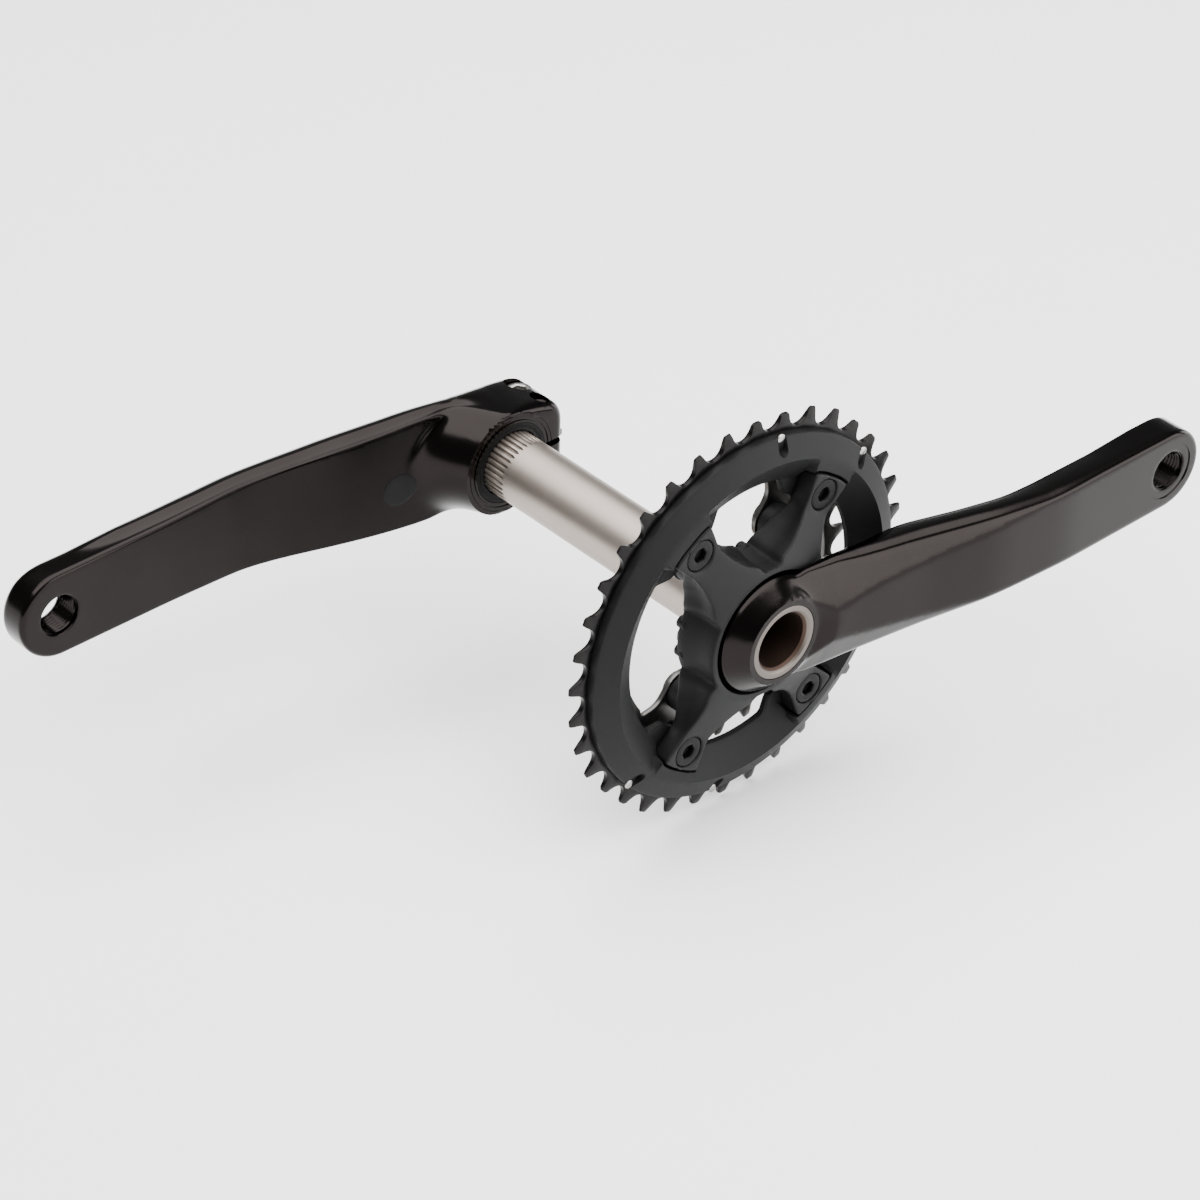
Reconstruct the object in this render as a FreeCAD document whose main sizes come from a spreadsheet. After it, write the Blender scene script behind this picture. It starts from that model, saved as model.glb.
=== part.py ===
"""Bicycle crankset: two crank arms on a hollow spindle, a four-arm spider and two chainrings.

Frame, in millimetres: the origin is on the spindle's axis at the middle of the bottom bracket.
+X runs along the drive-side arm, +Y towards the other arm, +Z is up, so the chainrings are at -Y.
The left arm stands 13 mm short of home on the spindle's spline, with its stopper swung out.
"""
import FreeCAD, Part
import math
import os

import Sketcher

Vector = FreeCAD.Vector
Rotation = FreeCAD.Rotation
Placement = FreeCAD.Placement

doc = FreeCAD.newDocument("crankset")
sheet = doc.addObject("Spreadsheet::Sheet", "Sizes")

# Driving dimensions. "outboard" lengths are distances from the centre plane along -Y on the
# drive side, "stations" are the same along +Y on the left side; angles are in degrees.
SIZES = {
    # spindle
    "spindle_radius": 12.0,
    "press_seat_radius": 12.2,
    "spindle_bore_radius": 10.1,
    "spindle_drive_end": 73.3,
    "spindle_left_end": 67.5,
    "spindle_flange_radius": 13.55,
    "spindle_flange_length": 2.3,
    "spindle_mouth_radius": 11.65,
    "spline_start": 52.0,
    "spline_tip_radius": 11.8,
    "spline_root_radius": 11.3,
    "spline_groove_root": 0.5,
    "spline_groove_mouth": 1.5,
    "spline_gap_width": 3.0,
    "spline_count": 36,
    "cap_thread_depth": 12.0,
    "cap_thread_radius": 10.0,
    # both arms
    "crank_length": 170.0,
    "pedal_end_radius": 15.3,
    "pedal_hole_radius": 7.0,
    "pedal_spotface_radius": 10.6,
    "pedal_spotface_depth": 0.4,
    # drive-side arm
    "arm_outboard": 88.6,
    "arm_inboard": 76.4,
    "arm_hub_radius": 21.7,
    "arm_rim_radius": 15.6,
    "arm_cone_outboard": 66.6,
    "arm_step_outboard": 56.0,
    "arm_collar_radius": 16.0,
    "arm_hub_inboard": 46.5,
    # left arm
    "left_inner": 90.0,
    "left_outer": 102.0,
    "left_hub_radius": 20.5,
    "left_hub_inner": 61.5,
    "left_hub_outer": 84.0,
    "left_bore_radius": 12.05,
    "lug_end": 24.6,
    "lug_shoulder_reach": 16.5,
    "lug_shoulder_height": 17.3,
    "lug_nose_half_height": 7.5,
    "lug_corner_radius": 10.3,
    "clamp_slot": 2.4,
    "pinch_reach": 17.5,
    "pinch_inboard": 67.0,
    "pinch_outboard": 78.0,
    "pinch_bolt_radius": 3.0,
    "pinch_head_radius": 4.9,
    "pinch_head_length": 5.0,
    "pinch_seat": 9.5,
    "pinch_shank_length": 20.0,
    "pinch_socket_radius": 2.5,
    "pinch_socket_depth": 3.0,
    "washer_thickness": 1.0,
    "seal_radius": 15.4,
    "seal_length": 1.8,
    "cap_recess_radius": 13.4,
    "cap_recess_depth": 3.5,
    "cap_flange_radius": 13.2,
    "cap_shank_radius": 9.92,
    "cap_shank_length": 8.0,
    "cap_socket_radius": 7.6,
    # stopper
    "stopper_thickness": 1.8,
    "stopper_hub_radius": 4.4,
    "stopper_bore_radius": 3.05,
    "stopper_bar_inner": 23.95,
    "stopper_bar_outer": 25.6,
    "stopper_foot": 64.2,
    "stopper_pin_radius": 0.6,
    "stopper_pin_root": 16.6,
    "stopper_web_end": 14.6,
    "stopper_nub": 26.4,
    "stopper_pin_station": 72.5,
    "stopper_pin_tip": 12.9,
    # spider
    "spider_opening_radius": 22.6,
    "spider_hub_radius": 24.8,
    "spider_front": 66.2,
    "spider_tip_front": 60.34,
    "spider_back": 49.0,
    "spider_arm_back": 53.2,
    "spider_tip_reach": 54.6,
    "spider_root_half_width": 9.6,
    "spider_neck_half_width": 6.4,
    "spider_tip_half_width": 8.4,
    "spider_lobe_radius": 2.3,
    "spider_lobe_count": 14,
    # chainrings
    "chain_pitch": 12.7,
    "roller_seat_radius": 4.05,
    "tooth_thickness": 2.0,
    "outer_teeth": 36,
    "outer_tip_radius": 74.6,
    "outer_tooth_front": 52.7,
    "outer_plate_front": 55.3,
    "outer_plate_radius": 67.3,
    "outer_crest_radius": 59.4,
    "outer_crest_front": 59.2,
    "outer_inner_radius": 49.3,
    "outer_inner_front": 53.2,
    "outer_first_gap": 2.2,
    "ear_half_width": 11.0,
    "ear_reach": 42.0,
    "cover_half_width": 10.4,
    "cover_reach": 58.5,
    "pocket_half_width": 9.0,
    "pocket_reach": 55.6,
    "inner_teeth": 26,
    "inner_tip_radius": 54.5,
    "inner_front": 46.0,
    "inner_inner_radius": 45.0,
    "tab_radius": 7.5,
    "outer_bolt_circle": 48.0,
    "inner_bolt_circle": 32.0,
    # fasteners of the rings
    "ring_bolt_radius": 4.0,
    "ring_bolt_head_radius": 5.6,
    "ring_bolt_head_length": 2.4,
    "ring_nut_radius": 5.0,
    "ring_nut_head_radius": 6.4,
    "ring_nut_head_length": 1.2,
    "ring_nut_sleeve": 2.4,
    "inner_bolt_length": 8.5,
    "inner_bolt_head_length": 1.9,
    "shift_pin_radius": 1.9,
    "shift_pin_circle": 66.5,
    "shift_pin_proud": 0.4,
    "pin_scoop_half_width": 2.15,
    "pin_scoop_reach": 63.4,
    "drop_pin_radius": 2.0,
    "drop_pin_circle": 61.0,
    "drop_pin_length": 9.6,
}

BOLT_ANGLES = (54.0, 124.0, 234.0, 304.0)
SHIFT_PIN_ANGLES = (41.0, 80.0, 221.0, 260.0)


class Size:
    """A length that knows both its value and the sheet expression that gives it."""

    def __init__(self, value, text=None):
        self.value = float(value)
        self.text = text if text is not None else repr(float(value))

    def _join(self, other, sign, value):
        return Size(value, "(%s %s %s)" % (self.text, sign, other.text))

    def __add__(self, other):
        other = as_size(other)
        return self._join(other, "+", self.value + other.value)

    def __radd__(self, other):
        return as_size(other) + self

    def __sub__(self, other):
        other = as_size(other)
        return self._join(other, "-", self.value - other.value)

    def __rsub__(self, other):
        return as_size(other) - self

    def __mul__(self, other):
        other = as_size(other)
        return self._join(other, "*", self.value * other.value)

    def __truediv__(self, other):
        other = as_size(other)
        return self._join(other, "/", self.value / other.value)

    def __neg__(self):
        return Size(-self.value, "(-1 * %s)" % self.text)


def as_size(number):
    return number if isinstance(number, Size) else Size(number)


def s(alias):
    """The named driving dimension."""
    return Size(SIZES[alias], "Sizes.%s" % alias)


for row, (alias, number) in enumerate(SIZES.items(), start=1):
    sheet.set("A%d" % row, alias)
    sheet.set("B%d" % row, str(number))
    sheet.setAlias("B%d" % row, alias)
doc.recompute()


# Helpers: bodies, sketches on a body's own planes, and the features made from them.

def new_body(label):
    body = doc.addObject("PartDesign::Body", label)
    body.Label = label
    return body


def new_sketch(body, name, role, offset=0.0, turn=0.0):
    """A sketch on one of the body's origin planes, moved along its normal and turned about it."""
    plane = [p for p in body.Origin.OriginFeatures if p.Role == role][0]
    sketch = body.newObject("Sketcher::SketchObject", name)
    sketch.AttachmentSupport = [(plane, "")]
    sketch.MapMode = "FlatFace"
    offset = as_size(offset)
    spin = Rotation(Vector(0, 0, 1), turn)
    sketch.AttachmentOffset = Placement(Vector(0, 0, offset.value), spin)
    if offset.text.startswith(("Sizes", "(")):
        sketch.setExpression("AttachmentOffset.Base.z", offset.text)
    return sketch


def bind(sketch, kind, *where, size):
    """Add a dimension to the sketch and tie it to the sheet."""
    index = sketch.addConstraint(Sketcher.Constraint(kind, *where, size.value))
    sketch.setExpression("Constraints[%d]" % index, size.text)


def fix_point(sketch, geometry, end, point):
    """Hold one vertex at the given coordinates."""
    for kind, axis, size in (("DistanceX", -2, point[0]), ("DistanceY", -1, point[1])):
        if size.value == 0.0:
            sketch.addConstraint(Sketcher.Constraint("PointOnObject", geometry, end, axis))
        else:
            bind(sketch, kind, -1, 1, geometry, end, size=size)


def end_at(sketch, geometry, spot):
    """Which end of a line or an arc lies at the spot: an arc keeps its ends in counter-clockwise order."""
    return 1 if (sketch.getPoint(geometry, 1) - spot).Length < 1e-6 else 2


def outline(sketch, corners):
    """A closed outline. A corner is (x, y), or (x, y, radius) where an arc leads to the next one;
    a positive radius bulges to the right of the way the outline runs, a negative one to the left.
    A half circle between two corners on one upright line is held by its centre instead."""
    points = [(as_size(c[0]), as_size(c[1])) for c in corners]
    count = len(points)
    for i, corner in enumerate(corners):
        start = Vector(points[i][0].value, points[i][1].value, 0)
        after = points[(i + 1) % count]
        end = Vector(after[0].value, after[1].value, 0)
        if len(corner) == 2:
            sketch.addGeometry(Part.LineSegment(start, end), False)
            continue
        radius = as_size(corner[2])
        chord = end - start
        right = Vector(chord.y, -chord.x, 0).normalize()
        side = 1.0 if radius.value > 0 else -1.0
        rise = math.sqrt(max(radius.value ** 2 - (chord.Length / 2) ** 2, 0.0))
        middle = (start + end) * 0.5 + right * side * (abs(radius.value) - rise)
        sketch.addGeometry(Part.Arc(start, middle, end), False)
    for i, corner in enumerate(corners):
        here = Vector(points[i][0].value, points[i][1].value, 0)
        before = (i - 1) % count
        start_end = end_at(sketch, i, here)
        sketch.addConstraint(
            Sketcher.Constraint("Coincident", before, end_at(sketch, before, here), i, start_end))
        fix_point(sketch, i, start_end, points[i])
        if len(corner) == 3:
            radius = as_size(corner[2])
            upright = points[i][0].text == points[(i + 1) % count][0].text
            if upright and abs(2 * radius.value) == abs(points[i][1].value - points[(i + 1) % count][1].value):
                bind(sketch, "DistanceX", -1, 1, i, 3, size=points[i][0])
            else:
                bind(sketch, "Radius", i, size=radius if radius.value > 0 else -radius)


def circle(sketch, x, y, radius):
    centre = (as_size(x), as_size(y))
    radius = as_size(radius)
    spot = Vector(centre[0].value, centre[1].value, 0)
    index = sketch.addGeometry(Part.Circle(spot, Vector(0, 0, 1), radius.value), False)
    fix_point(sketch, index, 3, centre)
    bind(sketch, "Radius", index, size=radius)


def feature(body, kind, name, sketch, length=None, flip=False, both_ways=False):
    """Pad or pocket a sketch, and make sure that it changed the body's volume.
    Without a length it goes through everything."""
    before = body.Shape.Volume if body.Tip else 0.0
    made = body.newObject("PartDesign::" + kind, name)
    made.Profile = sketch
    if length is not None:
        length = as_size(length)
        made.Length = length.value
        if length.text.startswith(("Sizes", "(")):
            made.setExpression("Length", length.text)
    else:
        made.Type = "ThroughAll"
    made.Reversed = flip
    made.Midplane = both_ways
    doc.recompute()
    changed = made.Shape.Volume - before
    if abs(changed) < 1e-3:
        raise RuntimeError("%s changes nothing" % name)
    if (changed < 0) != (kind in ("Pocket", "Groove")):
        raise RuntimeError("%s works the wrong way" % name)
    return made


def revolve(body, kind, name, profile):
    """Turn a profile of (radius, station) corners about the body's Y axis."""
    sketch = new_sketch(body, name + "_profile", "XY_Plane")
    outline(sketch, profile)
    before = body.Shape.Volume if body.Tip else 0.0
    made = body.newObject("PartDesign::" + kind, name)
    made.Profile = sketch
    made.ReferenceAxis = (sketch, ["V_Axis"])
    made.Angle = 360.0
    doc.recompute()
    if abs(made.Shape.Volume - before) < 1e-3:
        raise RuntimeError("%s changes nothing" % name)
    return made


def pattern(body, name, original, count):
    """Repeat a feature evenly round the Y axis."""
    turning = body.newObject("PartDesign::PolarPattern", name)
    turning.Originals = [original]
    axis = [a for a in body.Origin.OriginFeatures if a.Role == "Y_Axis"][0]
    turning.Axis = (axis, [""])
    turning.Angle = 360.0
    turning.Occurrences = int(count.value)
    turning.setExpression("Occurrences", count.text)
    body.Tip = turning
    doc.recompute()
    return turning


def turned(label, profile):
    """A whole piece turned about an axis along Y."""
    body = new_body(label)
    revolve(body, "Revolution", label + "_turned", profile)
    return body


def place_round(body, circle_size, angle):
    """Stand a turned piece at an angle on a circle about the spindle's axis."""
    body.Placement = Placement(
        Vector(circle_size.value * math.cos(math.radians(angle)), 0,
               circle_size.value * math.sin(math.radians(angle))),
        Rotation(Vector(0, 1, 0), -angle))
    body.setExpression("Placement.Base.x", "%s * cos(%g)" % (circle_size.text, angle))
    body.setExpression("Placement.Base.z", "%s * sin(%g)" % (circle_size.text, angle))


# Profiles below are lists of (radius, y) corners, and outlines on the XZ plane are (x, z) corners.

# Spindle: a steel tube with a flange in the drive-side arm and a spline for the left arm.

def make_spindle():
    body = new_body("spindle")
    drive_end = -s("spindle_drive_end")
    flange_inner = drive_end + s("spindle_flange_length")
    mouth_inner = drive_end + (s("spindle_mouth_radius") - s("spindle_bore_radius"))
    thread_inner = s("spindle_left_end") - s("cap_thread_depth")
    thread_relief = s("cap_thread_radius") - 0.6
    revolve(body, "Revolution", "spindle_tube", [
        (s("spindle_mouth_radius"), drive_end),
        (s("spindle_flange_radius"), drive_end),
        (s("spindle_flange_radius"), flange_inner),
        (s("press_seat_radius"), flange_inner),
        (s("press_seat_radius"), -s("arm_hub_inboard")),
        (s("spindle_radius"), -s("arm_hub_inboard")),
        (s("spindle_radius"), s("spline_start")),
        (s("spline_tip_radius"), s("spline_start")),
        (s("spline_tip_radius"), s("spindle_left_end")),
        (s("cap_thread_radius"), s("spindle_left_end")),
        (s("cap_thread_radius"), thread_inner),
        (thread_relief, thread_inner),
        (thread_relief, mouth_inner + 6.0),
        (s("spindle_bore_radius"), mouth_inner)])
    # One groove of the spline, repeated, then the wide gap at +X that the stopper's pin drops into.
    root = s("spline_root_radius")
    mouth = s("spline_tip_radius") + 0.5
    depth = s("spindle_left_end") - s("spline_start")
    root_half = s("spline_groove_root") / 2
    mouth_half = s("spline_groove_mouth") / 2
    half_step = 180.0 / SIZES["spline_count"]
    groove = new_sketch(body, "spline_groove", "XZ_Plane", -s("spindle_left_end"), half_step)
    outline(groove, [(root, -root_half), (mouth, -mouth_half), (mouth, mouth_half), (root, root_half)])
    cut = feature(body, "Pocket", "spline_cut", groove, depth, flip=True)
    pattern(body, "spline", cut, s("spline_count"))
    gap = new_sketch(body, "spline_gap", "XZ_Plane", -s("spindle_left_end"))
    gap_half = s("spline_gap_width") / 2
    outline(gap, [(root, -gap_half), (mouth, -gap_half), (mouth, gap_half), (root, gap_half)])
    feature(body, "Pocket", "spline_gap_cut", gap, depth, flip=True)
    return body


# Crank arms: a blade cut from a thick blank by its outer and inner face lines, and a turned hub.

def pedal_eye(body, eye_x, outer_face, length, flip):
    """The pedal's threaded hole and the shallow ring its washer sits on, on the outer face."""
    for name, radius, depth in (("pedal_hole", "pedal_hole_radius", length),
                                ("pedal_spotface", "pedal_spotface_radius", s("pedal_spotface_depth"))):
        sketch = new_sketch(body, name, "XZ_Plane", outer_face)
        circle(sketch, eye_x, 0.0, s(radius))
        feature(body, "Pocket", name + "_cut", sketch, depth, flip=flip)


def face_cut(body, name, corners):
    """Cut the blank down to a face line drawn in the XY plane, across its whole height."""
    sketch = new_sketch(body, name + "_line", "XY_Plane")
    outline(sketch, corners)
    feature(body, "Pocket", name, sketch, both_ways=True)


# Where the blades get narrower on their way to the pedal: (distance from the spindle, half width).
DRIVE_BLADE = ((0.0, 19.6), (26.0, 18.6), (60.0, 17.0), (84.0, 16.2), (112.0, 15.0), (140.0, 15.0))
LEFT_BLADE = ((55.0, 18.6), (90.0, 16.4), (125.0, 15.3))


def make_right_arm():
    body = new_body("right_crank_arm")
    length = s("crank_length")
    end_radius = s("pedal_end_radius")
    root_outboard = s("arm_step_outboard") + 4.0
    blank = new_sketch(body, "blade_outline", "XZ_Plane", root_outboard)
    lower = [(reach, -half) for reach, half in DRIVE_BLADE]
    upper = [(reach, half) for reach, half in reversed(DRIVE_BLADE)]
    outline(blank, lower + [(length, -end_radius, end_radius), (length, end_radius)] + upper)
    feature(body, "Pad", "blade", blank, s("arm_outboard") - root_outboard)
    outer = -s("arm_outboard")
    face_cut(body, "outer_face", [
        (-1.0, -64.0), (8.0, -70.5), (16.0, -75.6), (30.0, -77.0), (60.0, -81.0), (87.0, -86.0),
        (118.0, outer), (118.0, outer - 5.0), (-1.0, outer - 5.0)])
    face_cut(body, "inner_face", [
        (-1.0, -66.8), (58.0, -66.8), (80.0, -72.9), (96.0, -76.0), (length + 20.0, -s("arm_inboard")),
        (length + 20.0, -55.0), (-1.0, -55.0)])
    hub_outer = -s("spindle_drive_end")
    step = -s("arm_step_outboard")
    cone = -s("arm_cone_outboard")
    hub_inner = -s("arm_hub_inboard")
    revolve(body, "Revolution", "hub", [
        (s("press_seat_radius"), hub_outer), (s("arm_rim_radius"), hub_outer),
        (s("arm_hub_radius"), cone), (s("arm_hub_radius"), step),
        (s("arm_collar_radius"), step), (s("arm_collar_radius"), hub_inner),
        (s("press_seat_radius"), hub_inner)])
    # The rim's flat face runs out into the blade as a shallow cone.
    revolve(body, "Groove", "rim_cone", [
        (0.0, hub_outer), (s("arm_rim_radius"), hub_outer), (s("arm_rim_radius") + 6.8, hub_outer - 3.3),
        (s("arm_rim_radius") + 6.8, hub_outer - 8.0), (0.0, hub_outer - 8.0)])
    flange_inner = hub_outer + s("spindle_flange_length")
    revolve(body, "Groove", "spindle_bore", [
        (0.0, hub_outer - 2.0), (s("spindle_flange_radius"), hub_outer - 2.0),
        (s("spindle_flange_radius"), flange_inner), (s("press_seat_radius"), flange_inner),
        (s("press_seat_radius"), hub_inner + 2.0), (0.0, hub_inner + 2.0)])
    pedal_eye(body, length, s("arm_outboard"), s("arm_outboard") - s("arm_inboard") + 4.0, flip=False)
    return body


def make_left_arm():
    body = new_body("left_crank_arm")
    length = s("crank_length")
    end_radius = s("pedal_end_radius")
    hub_radius = s("left_hub_radius")
    lug = s("lug_end")
    nose = s("lug_nose_half_height")
    corner = s("lug_corner_radius")
    shoulder = (s("lug_shoulder_reach"), s("lug_shoulder_height"))
    inner = s("left_hub_inner")
    outer = s("left_outer")
    blank = new_sketch(body, "blade_outline", "XZ_Plane", -outer)
    upper = [(-reach, half) for reach, half in LEFT_BLADE]
    lower = [(-reach, -half) for reach, half in reversed(LEFT_BLADE)]
    outline(
        blank,
        [(shoulder[0], -shoulder[1], corner), (lug, -nose), (lug, nose, corner), shoulder,
         (6.0, hub_radius - 0.8), (-8.0, hub_radius), (-26.0, hub_radius)]
        + upper + [(-length, end_radius, end_radius), (-length, -end_radius)] + lower
        + [(-26.0, -hub_radius), (-8.0, -hub_radius), (6.0, 0.8 - hub_radius)])
    feature(body, "Pad", "blade", blank, outer - inner)
    face_cut(body, "outer_face", [
        (lug + 2.0, s("left_hub_outer")), (-14.0, s("left_hub_outer")), (-60.0, 93.0), (-92.0, 100.0),
        (-112.0, outer), (-112.0, outer + 2.0), (lug + 2.0, outer + 2.0)])
    face_cut(body, "inner_face", [
        (-14.0, inner - 2.0), (-14.0, 75.4), (-26.0, 76.7), (-45.0, 79.4), (-58.0, 82.0), (-80.0, 87.4),
        (-95.0, s("left_inner")), (-length - 20.0, s("left_inner")), (-length - 20.0, inner - 2.0)])
    revolve(body, "Revolution", "hub", [
        (s("left_bore_radius"), inner), (hub_radius - 1.0, inner), (hub_radius - 0.4, inner + 0.6),
        (hub_radius - 0.4, s("left_hub_outer")), (s("left_bore_radius"), s("left_hub_outer"))])
    # The spline bore, with the seal's seat at its inner end and the cap's recess at its outer end.
    seal_floor = inner + s("seal_length")
    recess_floor = s("left_hub_outer") - s("cap_recess_depth")
    revolve(body, "Groove", "spindle_bore", [
        (0.0, inner - 2.0), (s("seal_radius"), inner - 2.0), (s("seal_radius"), seal_floor),
        (s("left_bore_radius"), seal_floor), (s("left_bore_radius"), recess_floor),
        (s("cap_recess_radius"), recess_floor), (s("cap_recess_radius"), s("left_hub_outer") + 2.0),
        (0.0, s("left_hub_outer") + 2.0)])
    slot = new_sketch(body, "clamp_slot", "XZ_Plane", -outer)
    half = s("clamp_slot") / 2
    outline(slot, [(8.0, -half), (lug + 2.0, -half), (lug + 2.0, half), (8.0, half)])
    feature(body, "Pocket", "clamp_slot_cut", slot, flip=True)
    # The outboard bolt goes in from above and the inboard one from below.
    reach = s("pinch_reach")
    for name, station, upward in (("outboard", s("pinch_outboard"), True), ("inboard", s("pinch_inboard"), False)):
        hole = new_sketch(body, name + "_hole", "XY_Plane")
        circle(hole, reach, station, s("pinch_bolt_radius"))
        feature(body, "Pocket", name + "_hole_cut", hole, both_ways=True)
        seat = new_sketch(body, name + "_seat", "XY_Plane", s("pinch_seat") if upward else -s("pinch_seat"))
        circle(seat, reach, station, s("pinch_head_radius") + 0.3)
        feature(body, "Pocket", name + "_seat_cut", seat, flip=upward)
    pedal_eye(body, -length, -outer, outer - s("left_inner") + 4.0, flip=True)
    return body


# Spider: a ring behind the arm's hub with four arms, which carry both chainrings.

def make_spider():
    body = new_body("spider")
    front = -s("spider_front")
    back = -s("spider_back")
    hub_radius = s("spider_hub_radius")
    collar = s("arm_collar_radius")
    tip_front = -s("spider_tip_front")
    arm_back = s("spider_arm_back")
    revolve(body, "Revolution", "hub_ring", [
        (collar, front), (hub_radius, front), (hub_radius, back), (collar, back)])
    root_half = s("spider_root_half_width")
    neck_half = s("spider_neck_half_width")
    tip_half = s("spider_tip_half_width")
    reach = s("spider_tip_reach")
    bolt_circle = s("outer_bolt_circle")
    inner_circle = s("inner_bolt_circle")
    for number, angle in enumerate(BOLT_ANGLES, start=1):
        arm = new_sketch(body, "arm_outline_%d" % number, "XZ_Plane", arm_back, angle)
        outline(arm, [
            (19.0, -root_half), (26.0, -root_half), (32.0, -neck_half - 1.4), (40.0, -neck_half),
            (47.0, -tip_half), (reach - 1.4, -tip_half), (reach, 2.4 - tip_half),
            (reach, tip_half - 2.4), (reach - 1.4, tip_half), (47.0, tip_half), (40.0, neck_half),
            (32.0, neck_half + 1.4), (26.0, root_half), (19.0, root_half)])
        feature(body, "Pad", "arm_%d" % number, arm, s("spider_front") - arm_back)
        rib = new_sketch(body, "rib_outline_%d" % number, "XZ_Plane", s("spider_back"), angle)
        outline(rib, [
            (20.0, -neck_half), (inner_circle, -neck_half), (inner_circle, neck_half), (20.0, neck_half)])
        feature(body, "Pad", "rib_%d" % number, rib, arm_back - s("spider_back"))
        boss = new_sketch(body, "boss_outline_%d" % number, "XZ_Plane", s("inner_front"), angle)
        circle(boss, inner_circle, 0.0, s("tab_radius") - 0.7)
        feature(body, "Pad", "boss_%d" % number, boss, arm_back - s("inner_front"))
    slope_end = bolt_circle - s("ring_bolt_head_radius")
    revolve(body, "Groove", "front_cone", [
        (hub_radius, front), (slope_end, tip_front), (reach + 3.0, tip_front),
        (reach + 3.0, front - 2.0), (hub_radius, front - 2.0)])
    revolve(body, "Groove", "hub_opening", [
        (0.0, front - 3.0), (s("spider_opening_radius"), front - 3.0),
        (s("spider_opening_radius"), -s("arm_step_outboard")), (collar, -s("arm_step_outboard")),
        (collar, back + 6.0), (0.0, back + 6.0)])
    for number, angle in enumerate(BOLT_ANGLES, start=1):
        for name, plane, spot, radius, depth, flip in (
                ("bolt_hole", s("spider_tip_front"), bolt_circle, s("ring_bolt_radius"), None, False),
                ("bolt_seat", s("spider_tip_front"), bolt_circle, s("ring_bolt_head_radius") + 0.3,
                 s("ring_bolt_head_length"), False),
                ("inner_bolt_hole", s("inner_front"), inner_circle, s("ring_bolt_radius"),
                 s("inner_bolt_length"), True)):
            hole = new_sketch(body, "%s_%d" % (name, number), "XZ_Plane", plane, angle)
            circle(hole, spot, 0.0, radius)
            feature(body, "Pocket", "%s_cut_%d" % (name, number), hole, depth, flip=flip)
    first_lobe = 10.0
    lobe_outline = new_sketch(body, "lobe_outline", "XZ_Plane", s("spider_back"), first_lobe)
    circle(lobe_outline, hub_radius - 0.2, 0.0, s("spider_lobe_radius"))
    lobe = feature(body, "Pad", "lobe", lobe_outline, 3.5)
    pattern(body, "lobes", lobe, s("spider_lobe_count"))
    return body


# Chainrings.

def pitch_radius(teeth):
    """The radius of the circle through the chain's pins."""
    return Size(SIZES["chain_pitch"] / (2 * math.sin(math.pi / SIZES[teeth])),
                "(Sizes.chain_pitch / (2 * sin(180 / Sizes.%s)))" % teeth)


def cut_teeth(body, teeth, first_gap, outboard):
    """Cut one gap between teeth, a roller's seat with flanks that open at 25 degrees, and repeat it."""
    seat = s("roller_seat_radius")
    pitch = pitch_radius(teeth)
    turn = math.radians(25.0)
    start_x = pitch - seat * math.sin(turn)
    start_y = seat * math.cos(turn)
    flank = 5.0
    mouth_x = start_x + flank
    mouth_y = start_y + flank * math.tan(turn)
    gap = new_sketch(body, "tooth_gap", "XZ_Plane", outboard, first_gap)
    outline(gap, [
        (mouth_x, -mouth_y), (mouth_x, mouth_y), (start_x, start_y, -seat), (start_x, -start_y)])
    cut = feature(body, "Pocket", "tooth_gap_cut", gap)
    pattern(body, "teeth", cut, s(teeth))


def toothed_rim(tip, front, back):
    """The corners of a tooth's section, from its front to its back, bevelled towards the tip."""
    bevel = 0.6
    return [(tip - 3.0, front), (tip, front + bevel), (tip, back - bevel), (tip - 3.0, back)]


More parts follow.
